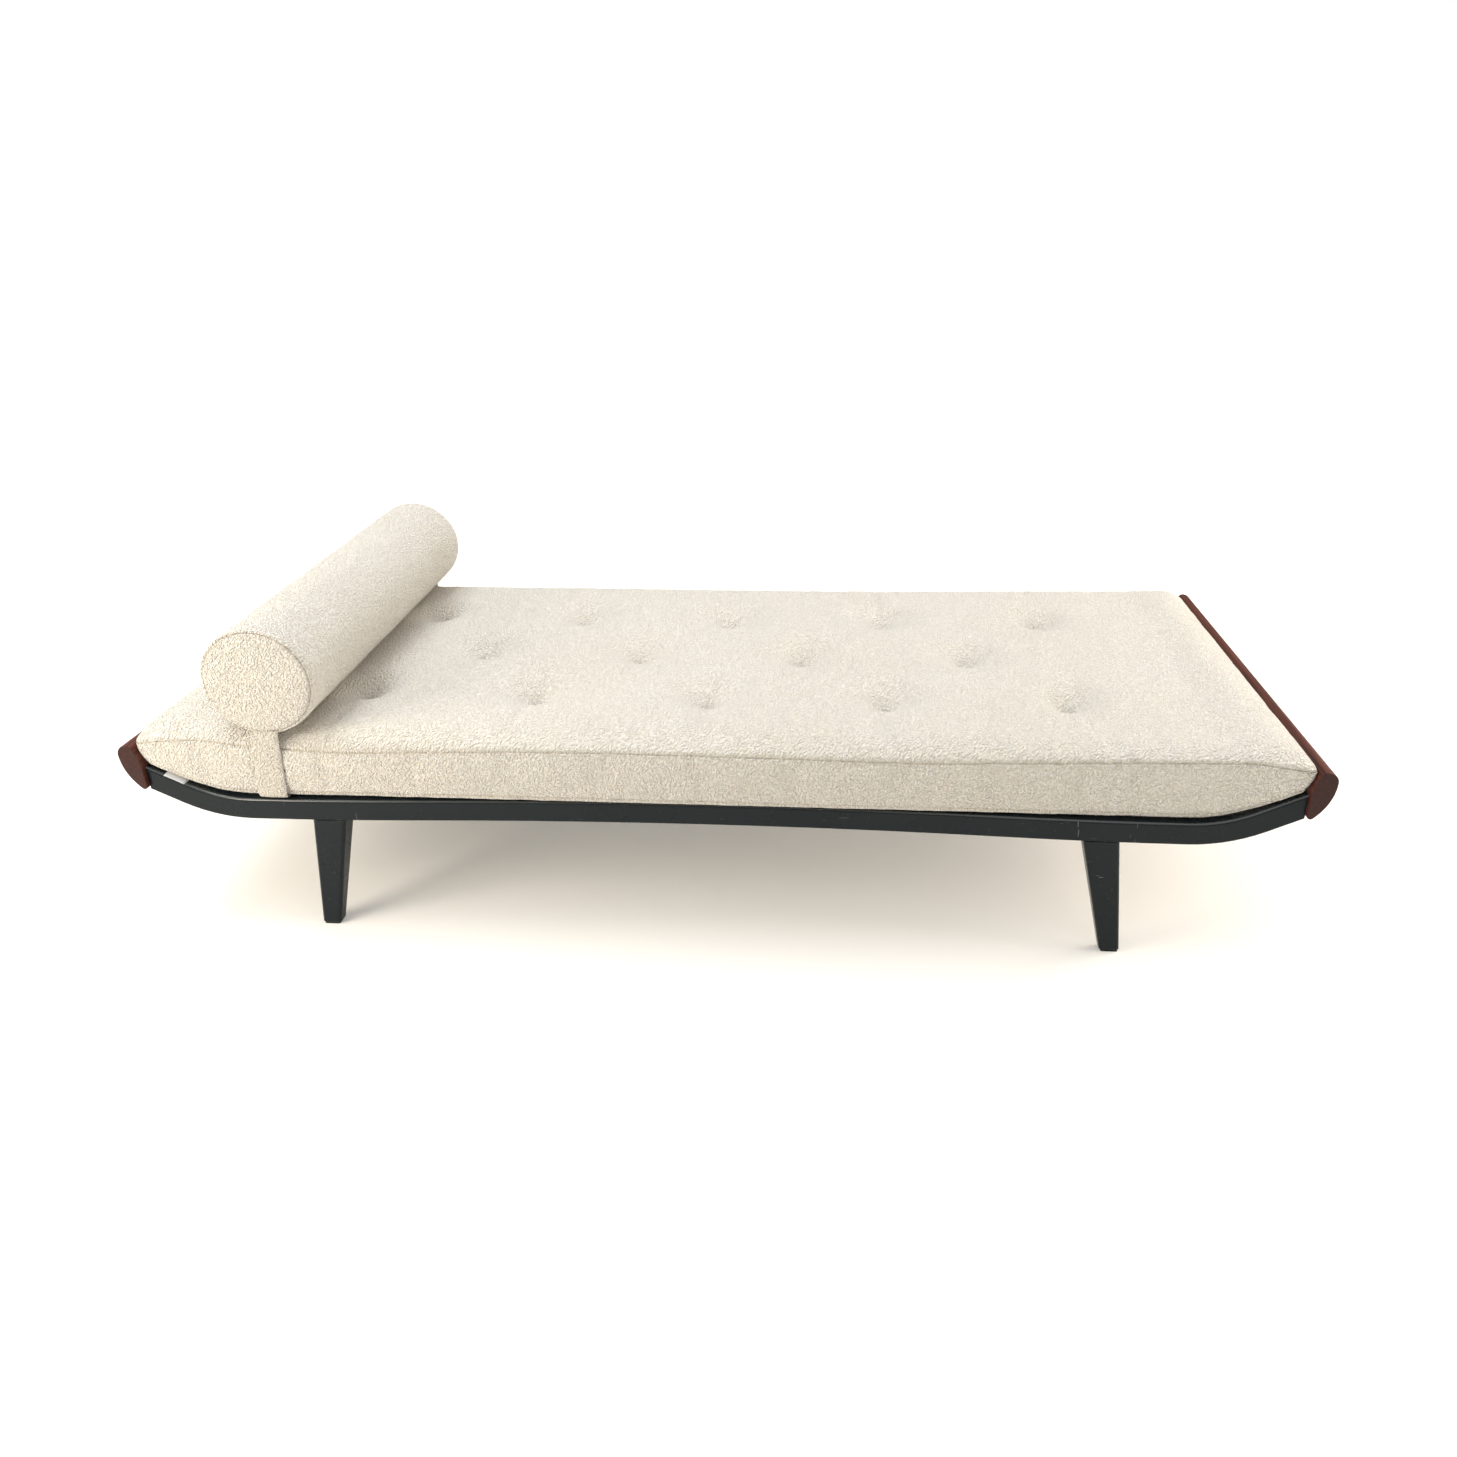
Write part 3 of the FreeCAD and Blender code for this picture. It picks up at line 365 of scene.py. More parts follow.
def new_piece(name, points, faces, material, body):
    """A mesh piece in place, with its material, riding on a body."""
    mesh = bpy.data.meshes.new(name)
    mesh.from_pydata([tuple(p) for p in np.asarray(points, float)], [], [tuple(f) for f in faces])
    mesh.update()
    mesh.polygons.foreach_set("use_smooth", [True] * len(mesh.polygons))
    mesh.materials.append(material)
    piece = bpy.data.objects.new(name, mesh)
    scene.collection.objects.link(piece)
    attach(piece, body)
    return piece


def coordinates(mesh):
    """A mesh's points as an array."""
    flat = np.empty(len(mesh.vertices) * 3, np.float32)
    mesh.vertices.foreach_get("co", flat)
    return flat.reshape(-1, 3).astype(float)


def set_coordinates(mesh, points):
    """Puts the points back."""
    mesh.vertices.foreach_set("co", np.asarray(points, np.float32).ravel())
    mesh.update()


def normals(mesh):
    """A mesh's point normals as an array."""
    flat = np.empty(len(mesh.vertices) * 3, np.float32)
    mesh.vertex_normals.foreach_get("vector", flat)
    return flat.reshape(-1, 3).astype(float)


def refine(piece, levels=1):
    """Catmull-Clark subdivision, applied."""
    modifier = piece.modifiers.new("refine", "SUBSURF")
    modifier.levels = modifier.render_levels = levels
    graph = bpy.context.evaluated_depsgraph_get()
    finer = bpy.data.meshes.new_from_object(piece.evaluated_get(graph))
    piece.modifiers.clear()
    old, name = piece.data, piece.data.name
    piece.data = finer
    bpy.data.meshes.remove(old)
    finer.name = name
    finer.polygons.foreach_set("use_smooth", [True] * len(finer.polygons))


def outside(piece):
    """Turns every face outward."""
    work = bmesh.new()
    work.from_mesh(piece.data)
    bmesh.ops.recalc_face_normals(work, faces=work.faces)
    work.to_mesh(piece.data)
    work.free()


SIM_FRAMES = 20
INNER_PRESSURE = 4.0


def inflate(piece, held, limit, slack):
    """Swells a shell as cloth: held is each point's pin weight, and limit the longest move."""
    before = coordinates(piece.data)
    group = piece.vertex_groups.new(name="held")
    levels = np.round(held, 2)
    for level in np.unique(levels[levels > 0]):
        group.add(np.nonzero(levels == level)[0].tolist(), float(level), "REPLACE")
    modifier = piece.modifiers.new("cloth", "CLOTH")
    cloth = modifier.settings
    cloth.quality = 5
    cloth.mass = 0.35
    cloth.tension_stiffness = cloth.compression_stiffness = 20
    cloth.shear_stiffness = 8
    cloth.bending_stiffness = 1.2
    cloth.tension_damping = cloth.compression_damping = 8
    cloth.air_damping = 3
    cloth.use_pressure = True
    cloth.uniform_pressure_force = INNER_PRESSURE
    cloth.shrink_min = -slack
    cloth.vertex_group_mass = group.name
    cloth.effector_weights.gravity = 0
    modifier.collision_settings.use_collision = False
    modifier.point_cache.frame_start, modifier.point_cache.frame_end = 1, SIM_FRAMES
    for number in range(1, SIM_FRAMES + 1):
        scene.frame_set(number)
    graph = bpy.context.evaluated_depsgraph_get()
    after = coordinates(piece.evaluated_get(graph).data)
    piece.modifiers.clear()
    piece.vertex_groups.clear()
    moved = after - before
    far = np.linalg.norm(moved, axis=1, keepdims=True)
    allowed = limit * np.tanh(far / limit)
    set_coordinates(piece.data, before + moved * (allowed / np.maximum(far, 1e-9)))
    scene.frame_set(1)


WAVES = 9


def smooth_field(points, pitch, seed):
    """Slow random ups and downs from about -1 to 1, roughly pitch apart."""
    drawn = np.random.default_rng(seed)
    total = np.zeros(len(points))
    for _ in range(WAVES):
        direction = drawn.normal(size=3)
        direction /= np.linalg.norm(direction)
        total += np.sin(points @ direction * (2 * math.pi / (pitch * drawn.uniform(0.7, 1.4)))
                        + drawn.uniform(0, 2 * math.pi))
    return total / math.sqrt(WAVES * 2)


def push_out(mesh, distance):
    """Moves each point along its normal."""
    set_coordinates(mesh, coordinates(mesh) + normals(mesh) * distance[:, None])


NUB_HEIGHT = 0.22 * MM


def nubs(mesh, seed):
    """Uneven loops: each point moves a little along its normal."""
    drawn = np.random.default_rng(seed).normal(size=len(mesh.vertices))
    push_out(mesh, drawn.clip(-1.6, 1.6) * NUB_HEIGHT)


def grid_faces(index, flip=False):
    """Quads over a 2-D array of point numbers."""
    a, b, c, d = index[:-1, :-1], index[1:, :-1], index[1:, 1:], index[:-1, 1:]
    quads = np.stack([a, b, c, d], -1).reshape(-1, 4)
    return (quads[:, ::-1] if flip else quads).tolist()


# ---------------------------------------------------------------- mattress

BEND_START = 790 * MM  # the mattress's underside turns up from here
BEND_CENTRE = 493 * MM
BEND_RADIUS = 228.7 * MM
END_SLOPE = 0.5
RIM = np.array([0, 2.5, 6, 11, 18, 27, 38, 50]) * MM  # grid lines beside an edge
CORNER = RIM[3]  # radius of the mattress's corners in plan
HEAD_CROWN = 17 * MM  # how far in from the head end the top reaches its height
FOOT_CROWN = 55 * MM  # and from the foot end
CROWN_POWER = 1.15
# How the top seam and the side band reach out near each end: from where, over what run, how far.
SEAM_GROWTH = (900 * MM, 60 * MM, 5.5 * MM)
BAND_GROWTH = (850 * MM, 95 * MM, 6.5 * MM)
CELLS_X = (19, 11, 11, 11, 11, 11, 11, 11, 11, 20)
CELLS_Y = (10, 13, 13, 10)
TUFT_PITCH = 158.5 * MM
TUFT_COLUMNS = (-644 * MM) + TUFT_PITCH * np.arange(9)
TUFT_ROW = 190 * MM
TUFTS = [(x, y) for i, x in enumerate(TUFT_COLUMNS)
         for y in ((-TUFT_ROW, TUFT_ROW) if i % 2 == 0 else (0.0,))]
TUFT_DEPTH = 44 * MM
TUFT_FLOOR = 340 * MM
TUFT_PIN = 40 * MM  # the cloth is held within this distance of a tuft
EDGE_PIN = 60 * MM  # and of an edge
SEAM_HEIGHT = {
    -970: 363, -924: 370, -854: 369, -780: 360, -615: 350, -470: 355, -337: 360, -160: 362, 0: 361,
    200: 358, 361: 355, 500: 359, 612: 363, 750: 367, 888: 369, 966: 359,
}
CROWN_HEIGHT = {
    -972: 390, -930: 391, -890: 389, -820: 387, -744: 385.6, -626: 385.6, -345: 383, -67: 380,
    205: 380.5, 473: 384, 700: 385.7, 790: 385.8, 889: 387.5, 930: 387.5, 972: 386,
}
HEAD_GAP = {-966: 0, -909: 2, -870: 0, 966: 0}  # under the lower edge near the head end
HEAD_GAP_REACH = 14 * MM
BOTTOM_SEAM = 10 * MM  # radius of the lower edge
BOTTOM_INSET = (4.5 * MM, 1.0 * MM)
BAND_ROWS = np.array([0, .028, .068, .14, .26, .40, .55, .70, .83, .92, .965, 1.0])
BAND_BULGE = 2.2 * MM
SEAM_NIP = 2.3 * MM
SEAM_LIP = 0.5 * MM


def by_table(table, x):
    """A smoothed curve by a table of millimetres."""
    keys, values = np.array(sorted(table.items()), float).T
    flat = np.asarray(x, float) / MM
    out = np.interp(flat, keys, values)
    for shift in (-22, -11, 11, 22):
        out = out + np.interp(flat + shift, keys, values)
    return out / 5 * MM


def underside(x):
    """Level of the mattress's underside, which follows the rails' turned-up ends."""
    run = np.abs(x) - BEND_START
    turned = BEND_RADIUS * math.sin(math.atan(END_SLOPE))
    arc = BEND_CENTRE - np.sqrt(BEND_RADIUS ** 2 - np.clip(run, 0, turned) ** 2)
    return arc + np.maximum(run - turned, 0) * END_SLOPE


GATHER = 0.55  # how closely grid lines gather at the tufts
END_GATHER = 0.30  # and at the edges


def graded(half, stations, cells):
    """Grid lines from -half to half, close together at the edges and near each station."""
    inner = half - RIM[-1]
    stops = [-inner, *stations, inner]
    lines = [stops[0]]
    for i, count in enumerate(cells):
        share = np.arange(1, count + 1) / count
        pull = GATHER * np.sin(2 * math.pi * share) / (2 * math.pi)
        if i == 0:
            share = share + END_GATHER * share * (1 - share)
        elif i == len(cells) - 1:
            share = share - END_GATHER * share * (1 - share)
        else:
            share = share - pull
        lines += list(stops[i] + (stops[i + 1] - stops[i]) * share)
    edge = half - RIM[:-1]
    return np.array([*(-edge), *lines, *edge[::-1]])


def eased(share):
    """A smooth step from 0 to 1."""
    share = np.clip(share, 0, 1)
    return share * share * (3 - 2 * share)


def quarter_round(share):
    """Height along a quarter circle, steep at 0 and level at 1."""
    return np.sqrt(1 - (1 - np.clip(share, 0, 1)) ** 2)


def grown(width, half, x, growth):
    """A width that grows near the ends."""
    start, run, most = growth
    return width * (1 + most / half * eased((np.abs(x) - start) / run))


def rounded_outline(x, y, half_x, half_y):
    """The grid with its corners rounded, and how far each point is from the end and from the side."""
    dx = np.clip((np.abs(x) - half_x + CORNER) / CORNER, 0, 1)
    dy = np.clip((np.abs(y) - half_y + CORNER) / CORNER, 0, 1)
    bx, by = dx * np.sqrt(1 - dy ** 2 / 2), dy * np.sqrt(1 - dx ** 2 / 2)
    new_x = np.sign(x) * (np.minimum(np.abs(x), half_x - CORNER) + bx * CORNER)
    new_y = np.sign(y) * (np.minimum(np.abs(y), half_y - CORNER) + by * CORNER)
    return new_x, grown(new_y, half_y, x, BAND_GROWTH), half_x - np.abs(x), half_y - np.abs(y)


def dimple(distance):
    """A tuft's hollow, 1 at its centre."""
    return 0.52 * np.exp(-distance / (15 * MM)) + 0.48 * np.exp(-(distance / (42 * MM)) ** 2)


def loop_of(index):
    """The numbers round a grid's rim, in order."""
    return np.concatenate([index[:-1, 0], index[-1, :-1], index[:0:-1, -1], index[0, :0:-1]])


def mattress_shell():
    """A top panel, a side band and a bottom panel: points, faces, pin weights and seam points."""
    half_x, half_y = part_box("mattress_cover")[1].xy
    xs = graded(half_x, TUFT_COLUMNS, CELLS_X)
    ys = graded(half_y, (-TUFT_ROW, 0.0, TUFT_ROW), CELLS_Y)
    gx, gy = np.meshgrid(xs, ys, indexing="ij")
    x, y, from_end, from_side = rounded_outline(gx, gy, half_x, half_y)
    x = grown(x, half_x, x, SEAM_GROWTH)
    seam = by_table(SEAM_HEIGHT, x)
    crown = by_table(CROWN_HEIGHT, x)
    end_crown = np.where(gx < 0, HEAD_CROWN, FOOT_CROWN)
    rise = (quarter_round(from_end / end_crown) * quarter_round(from_side / RIM[-1])) ** CROWN_POWER
    hollow = np.zeros_like(x)
    for tx, ty in TUFTS:
        hollow = np.maximum(hollow, dimple(np.hypot(x - tx, y - ty)))
    top = np.stack([x, y, seam + (crown - seam) * rise - TUFT_DEPTH * hollow], -1)
    low_x, low_y, from_end, from_side = rounded_outline(gx, gy, half_x, half_y)
    low_in = np.minimum(from_end, from_side)
    low_x = low_x * (1 - BOTTOM_INSET[0] / half_x)
    low_y = low_y * (1 - BOTTOM_INSET[1] / half_y)
    tuck = 1 - quarter_round(low_in / BOTTOM_SEAM)
    lifted = by_table(HEAD_GAP, low_x) * np.clip(1 - low_in / HEAD_GAP_REACH, 0, 1)
    bottom = np.stack([low_x, low_y, underside(low_x) + BOTTOM_SEAM * tuck + lifted], -1)
    count = gx.size
    top_index = np.arange(count).reshape(gx.shape)
    bottom_index = top_index + count
    points = [top.reshape(-1, 3), bottom.reshape(-1, 3)]
    upper, lower = loop_of(top_index), loop_of(bottom_index)
    rim_top, rim_low = top.reshape(-1, 3)[upper], bottom.reshape(-1, 3)[lower - count]
    along = np.roll(rim_top, -1, 0) - np.roll(rim_top, 1, 0)
    outward = np.stack([along[:, 1], -along[:, 0], np.zeros(len(along))], -1)
    outward /= np.linalg.norm(outward, axis=1, keepdims=True)
    rows, start = [upper], 2 * count
    for share in BAND_ROWS[1:-1]:
        swell = BAND_BULGE * math.sin(math.pi * share) ** 0.8
        points.append(rim_top * (1 - share) + rim_low * share + outward * swell)
        rows.append(np.arange(start, start + len(upper)))
        start += len(upper)
    rows.append(lower)
    band = np.array(rows)
    band = np.concatenate([band, band[:, :1]], 1)
    faces = grid_faces(top_index) + grid_faces(bottom_index, True) + grid_faces(band)
    points = np.concatenate(points)
    held = np.zeros(len(points))
    held[bottom_index.ravel()] = 1.0
    held[upper] = 0.6
    for tx, ty in TUFTS:
        distance = np.hypot(top[..., 0] - tx, top[..., 1] - ty).ravel()
        held[:count] = np.maximum(held[:count], np.exp(-(distance / TUFT_PIN) ** 2))
    from_edge = np.minimum(half_x - np.abs(gx), half_y - np.abs(gy))
    beside_edge = np.clip(1.2 - from_edge / EDGE_PIN, 0, 1)
    held[:count] = np.maximum(held[:count], beside_edge.ravel() * 0.5)
    return points, faces, held, np.concatenate([upper, lower])


def mark_seams(piece, seam_points):
    """Writes 1 on the seams' points and 0 elsewhere, which subdivision spreads to half-way rows."""
    values = np.zeros(len(piece.data.vertices), np.float32)
    values[seam_points] = 1
    piece.data.attributes.new("seam", "FLOAT", "POINT").data.foreach_set("value", values)


def nip_seams(piece):
    """Draws each seam in to a narrow groove, and swells the cloth beside it."""
    mesh = piece.data
    values = np.empty(len(mesh.vertices), np.float32)
    mesh.attributes["seam"].data.foreach_get("value", values)
    links = np.empty(len(mesh.edges) * 2, np.int32)
    mesh.edges.foreach_get("vertices", links)
    links = links.reshape(-1, 2)
    beside = np.zeros(len(values))
    for a, b in (links.T, links.T[::-1]):
        np.maximum.at(beside, a, values[b])
    lip = (values < 0.25) & (beside > 0.25)
    depth = np.where(values > 0.75, SEAM_NIP, np.where(values > 0.25, SEAM_NIP * 0.30, 0))
    push_out(mesh, lip * SEAM_LIP - depth)


TOP_PANEL = 350 * MM  # points above this belong to the top
BOLSTER_TURN = math.radians(2.0)
BOLSTER_MIDDLE = sum(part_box("bolster_cover"), Vector()) / 2
BOLSTER_RADIUS = 95 * MM
BOLSTER_TRAVEL = 850 * MM  # how far its flat gets either way
BOLSTER_FLAT = 386.1 * MM  # the level of its underside where it rests
BOLSTER_NEAR = 0.9 * BOLSTER_RADIUS  # the mattress gives way this far on either side
PAST_TRAVEL_RISE = 0.13  # slope of the room above the mattress beyond that
STRAP_X = sum(corner.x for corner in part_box("strap_under")) / 2
STRAP_HALF = 25 * MM
STRAP_BESIDE = 14 * MM  # over which the band swells back beside the strap
BAND_FACE = 385.6 * MM  # of the mattress's side band under the strap
BAND_SWELL = 7.5 * MM  # and how much farther it may come out elsewhere
AIR = 0.4 * MM  # least gap between two bodies
END_FACE = 963 * MM  # of the wooden ends' inner faces, below where they lean outward
LEAN_START = 325 * MM
LEAN_RISE = 36 * MM
LEAN_ROUND = 62 * MM


def settle(points):
    """Makes room in the mattress for the wooden ends, the bolster on top and the strap round it."""
    x, y, z = points.T
    leaned = np.clip(z - LEAN_START, 0, LEAN_RISE)
    wall = END_FACE + LEAN_ROUND - np.sqrt(LEAN_ROUND ** 2 - leaned ** 2) - 2 * AIR
    points[:, 0] = x = np.clip(x, -wall, wall)
    from_x, from_y = x - BOLSTER_MIDDLE.x, y - BOLSTER_MIDDLE.y
    across = np.abs(from_x * math.cos(BOLSTER_TURN) + from_y * math.sin(BOLSTER_TURN))
    drop = np.sqrt(BOLSTER_RADIUS ** 2 - np.clip(across, 0, BOLSTER_NEAR) ** 2)
    ceiling = np.maximum(BOLSTER_MIDDLE.z - drop, BOLSTER_FLAT) - 1.5 * AIR
    pressed = (across < BOLSTER_NEAR) & (z > TOP_PANEL)
    points[:, 2] = np.where(pressed, np.minimum(z, ceiling), z)
    past_travel = np.maximum(np.abs(x) - BOLSTER_TRAVEL, 0)
    points[:, 2] = np.minimum(points[:, 2], BOLSTER_FLAT - AIR + past_travel * PAST_TRAVEL_RISE)
    beside = eased(1.35 - np.abs(x - STRAP_X) / (STRAP_HALF + STRAP_BESIDE))
    face = BAND_FACE + (1 - beside) * BAND_SWELL
    points[:, 1] = np.clip(y, -face, face)
    points[:, 2] = np.maximum(points[:, 2], underside(points[:, 0]))
    return points


CREASES = 6  # round each tuft
CREASE_LENGTH = (16, 38)  # in millimetres, as is the depth
CREASE_DEPTH = (1.4, 2.8)
PIT_DEPTH = 2.5 * MM
PIT_RADIUS = 4.5 * MM


def crease_tufts(points):
    """Fine folds running out from each tuft, and a tight pit at its middle."""
    drawn = np.random.default_rng(41)
    top = points[:, 2] > TUFT_FLOOR
    sunk = np.zeros(len(points))
    for tx, ty in TUFTS:
        dx, dy = points[:, 0] - tx, points[:, 1] - ty
        distance = np.hypot(dx, dy)
        near = top & (distance < 110 * MM)
        for k in range(CREASES):
            angle = 2 * math.pi / CREASES * k + drawn.normal() * 0.28 + 0.15
            length = drawn.uniform(*CREASE_LENGTH) * MM
            along = dx * math.cos(angle) + dy * math.sin(angle)
            aside = -dx * math.sin(angle) + dy * math.cos(angle)
            width = 3.2 * MM + 0.10 * np.abs(along)
            fold = np.exp(-(aside / width) ** 2) * np.exp(-np.abs(along) / length) * (along > 0)
            grow = 1 - np.exp(-distance / (5 * MM))
            sunk += near * fold * grow * drawn.uniform(*CREASE_DEPTH) * MM
        sunk += near * PIT_DEPTH * np.exp(-(distance / PIT_RADIUS) ** 2)
    points[:, 2] -= sunk
    return points


FOLD_CENTRE = 320 * MM  # height about which folds lean
FOLD_START = 10 * MM  # above the underside
FOLD_HEIGHT = 80 * MM
BAND_FOLDS = (
    # where along the side band, how wide, how deep, how it leans
    (655, 10, 2.2, 0.10), (700, 13, 3.6, -0.12), (748, 11, 4.4, 0.08), (792, 15, 3.4, -0.05),
    (838, 12, 3.8, 0.15), (884, 14, 2.6, 0.05), (610, 12, 1.4, 0.00), (-690, 12, 1.2, 0.2),
)


def fold_band(points):
    """Soft upright folds in the side band near the foot end."""
    for sign in (-1, 1):
        near_face = points[:, 1] * sign > 372 * MM
        for at, wide, deep, lean in BAND_FOLDS:
            centre = at * MM + (points[:, 2] - FOLD_CENTRE) * lean * (-sign)
            shape = np.exp(-((points[:, 0] - centre) / (wide * MM)) ** 2)
            level = (points[:, 2] - underside(points[:, 0]) - FOLD_START) / FOLD_HEIGHT
            fade = np.clip(level, 0, 1) * np.clip((1 - level) * 3.0, 0, 1)
            ridge = np.exp(-((points[:, 0] - centre - wide * 1.7 * MM) / (wide * MM)) ** 2)
            points[:, 1] -= near_face * sign * (shape - 0.6 * ridge) * fade * deep * MM
    return points


def make_mattress():
    """The tufted mattress: simulated shell, seams, folds and loops."""
    points, faces, held, seams = mattress_shell()
    piece = new_piece("mattress_pad", points, faces, CREAM, "mattress")
    inflate(piece, held, 9 * MM, 0.012)
    mark_seams(piece, seams)
    set_coordinates(piece.data, settle(coordinates(piece.data)))
    refine(piece)
    nip_seams(piece)
    points = crease_tufts(coordinates(piece.data))
    points = fold_band(points)
    facing = normals(piece.data)
    points += facing * smooth_field(points, 70 * MM, 7)[:, None] * 0.45 * MM
    set_coordinates(piece.data, points)
    nubs(piece.data, 5)
    set_coordinates(piece.data, settle(coordinates(piece.data)))
    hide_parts("mattress_cover", "mattress_core")
    return piece


mattress = make_mattress()


# ---------------------------------------------------------------- bolster

QUARTER_CELLS = 24  # of the roll's round, and of each end disc's side
BOLSTER_HALF = 385 * MM
END_SEAM_RADIUS = 89 * MM
ROLL_LINES = np.array([0, 2.5, 6, 11, 18, 27, 38, 52]) * MM
ROLL_CELLS = 44
ROLL_SHOULDER = 13 * MM  # over which the roll swells from its end seams
DISC_LIP = 0.972  # the end panel's share of its seam's radius
PANEL_CROWN = 5.0 * MM


def disc_grid():
    """A square grid mapped on to a disc of radius 1, its rim points evenly spaced."""
    spread = math.sqrt(2) * np.sin(np.linspace(-math.pi / 4, math.pi / 4, QUARTER_CELLS + 1))
    a, b = np.meshgrid(spread, spread, indexing="ij")
    return a * np.sqrt(1 - b ** 2 / 2), b * np.sqrt(1 - a ** 2 / 2)


def bolster_shell():
    """A roll along Y with a sewn-in disc at each end: points, faces, pin weights and seam points."""
    across, up = disc_grid()
    index = np.arange(across.size).reshape(across.shape)
    rim = loop_of(index)
    ring = np.stack([across.ravel()[rim], up.ravel()[rim]], -1)
    middle = np.linspace(-BOLSTER_HALF + ROLL_LINES[-1], BOLSTER_HALF - ROLL_LINES[-1], ROLL_CELLS)
    edge = BOLSTER_HALF - ROLL_LINES[:-1]
    stations = np.array([*(-edge), *middle, *edge[::-1]])
    inward = np.clip((BOLSTER_HALF - np.abs(stations)) / ROLL_SHOULDER, 0, 1)
    swell = BOLSTER_RADIUS - 0.8 * MM - END_SEAM_RADIUS
    radii = END_SEAM_RADIUS + swell * np.sqrt(1 - (1 - inward) ** 2)
    points, faces = [], []
    for sign in (-1, 1):
        far = np.hypot(across, up) * DISC_LIP
        bulge = sign * (BOLSTER_HALF + PANEL_CROWN * (1 - far ** 2) ** 0.8)
        reach = END_SEAM_RADIUS * DISC_LIP
        disc = np.stack([across * reach, bulge, up * reach], -1)
        faces += grid_faces(index + len(points) * index.size, sign > 0)
        points.append(disc.reshape(-1, 3))
    start = 2 * index.size
    rows = [rim]
    for y, radius in zip(stations, radii):
        points.append(np.stack([ring[:, 0] * radius, np.full(len(ring), y), ring[:, 1] * radius], -1))
        rows.append(np.arange(start, start + len(ring)))
        start += len(ring)
    rows.append(rim + index.size)
    tube = np.array(rows)
    faces += grid_faces(np.concatenate([tube, tube[:, :1]], 1), True)
    points = np.concatenate(points)
    seams = np.concatenate([rows[1], rows[-2]])
    held = np.zeros(len(points))
    held[seams] = 0.8
    return points, faces, held, seams


def make_bolster():
    """The round bolster: simulated roll, seam rings, loops and a flat that it rests on."""
    points, faces, held, seams = bolster_shell()
    turn = np.array(Matrix.Rotation(BOLSTER_TURN, 3, "Z"))
    points = points @ turn.T + np.array(BOLSTER_MIDDLE)
    piece = new_piece("bolster_pad", points, faces, CREAM, "bolster")
    outside(piece)
    inflate(piece, held, 2.5 * MM, 0.004)
    mark_seams(piece, seams)
    refine(piece)
    nip_seams(piece)
    push_out(piece.data, smooth_field(coordinates(piece.data), 90 * MM, 23) * 0.5 * MM)
    nubs(piece.data, 19)
    spots = coordinates(piece.data)
    spots[:, 2] = np.maximum(spots[:, 2], BOLSTER_FLAT)
    set_coordinates(piece.data, spots)
    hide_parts("bolster_cover", "bolster_core",
                "bolster_end_panel_front", "bolster_end_panel_back")


make_bolster()


# ---------------------------------------------------------------- strap

STRAP_FACE = 390.0 * MM
STRAP_RUN = 262.65 * MM
STRAP_TOP = 389.5 * MM
STRAP_TURN = 9 * MM  # radius of its turn under the mattress
STRAP_SECTION = 22
STRAP_THIN, STRAP_PLUMP = 1.1 * MM, 3.3 * MM  # half its thickness underneath, and what its sides add
STRAP_SPREAD = 0.12  # share by which it widens toward its lower end
STRAP_LEAN = {-391: -737, -330: -741, -262: -745.5, 262: -745.5, 330: -750, 391: -756}


def strap_path():
    """The strap's middle line from the front of the bolster, under the mattress and up the back."""
    side = [(-STRAP_FACE + 9.0 * MM, STRAP_TOP + 1.5 * MM), (-STRAP_FACE + 4.0 * MM, STRAP_TOP),
            (-STRAP_FACE + 1.2 * MM, STRAP_TOP - 5 * MM)]
    side += [(-STRAP_FACE, z) for z in np.linspace(STRAP_TOP - 14 * MM, STRAP_RUN + STRAP_TURN, 14)]
    for angle in np.linspace(0, math.pi / 2, 7)[1:]:
        side.append((-STRAP_FACE + STRAP_TURN * (1 - math.cos(angle)),
                     STRAP_RUN + STRAP_TURN * (1 - math.sin(angle))))
    across = [(y, STRAP_RUN) for y in np.linspace(-STRAP_FACE + STRAP_TURN, 0, 20)[1:]]
    front = side + across
    back = [(-y, z) for y, z in front[-2::-1]]
    return np.array(front + back)


def squared(wave, power):
    """A circle's sine or cosine, squared off by a power below 1."""
    return np.sign(wave) * np.abs(wave) ** power


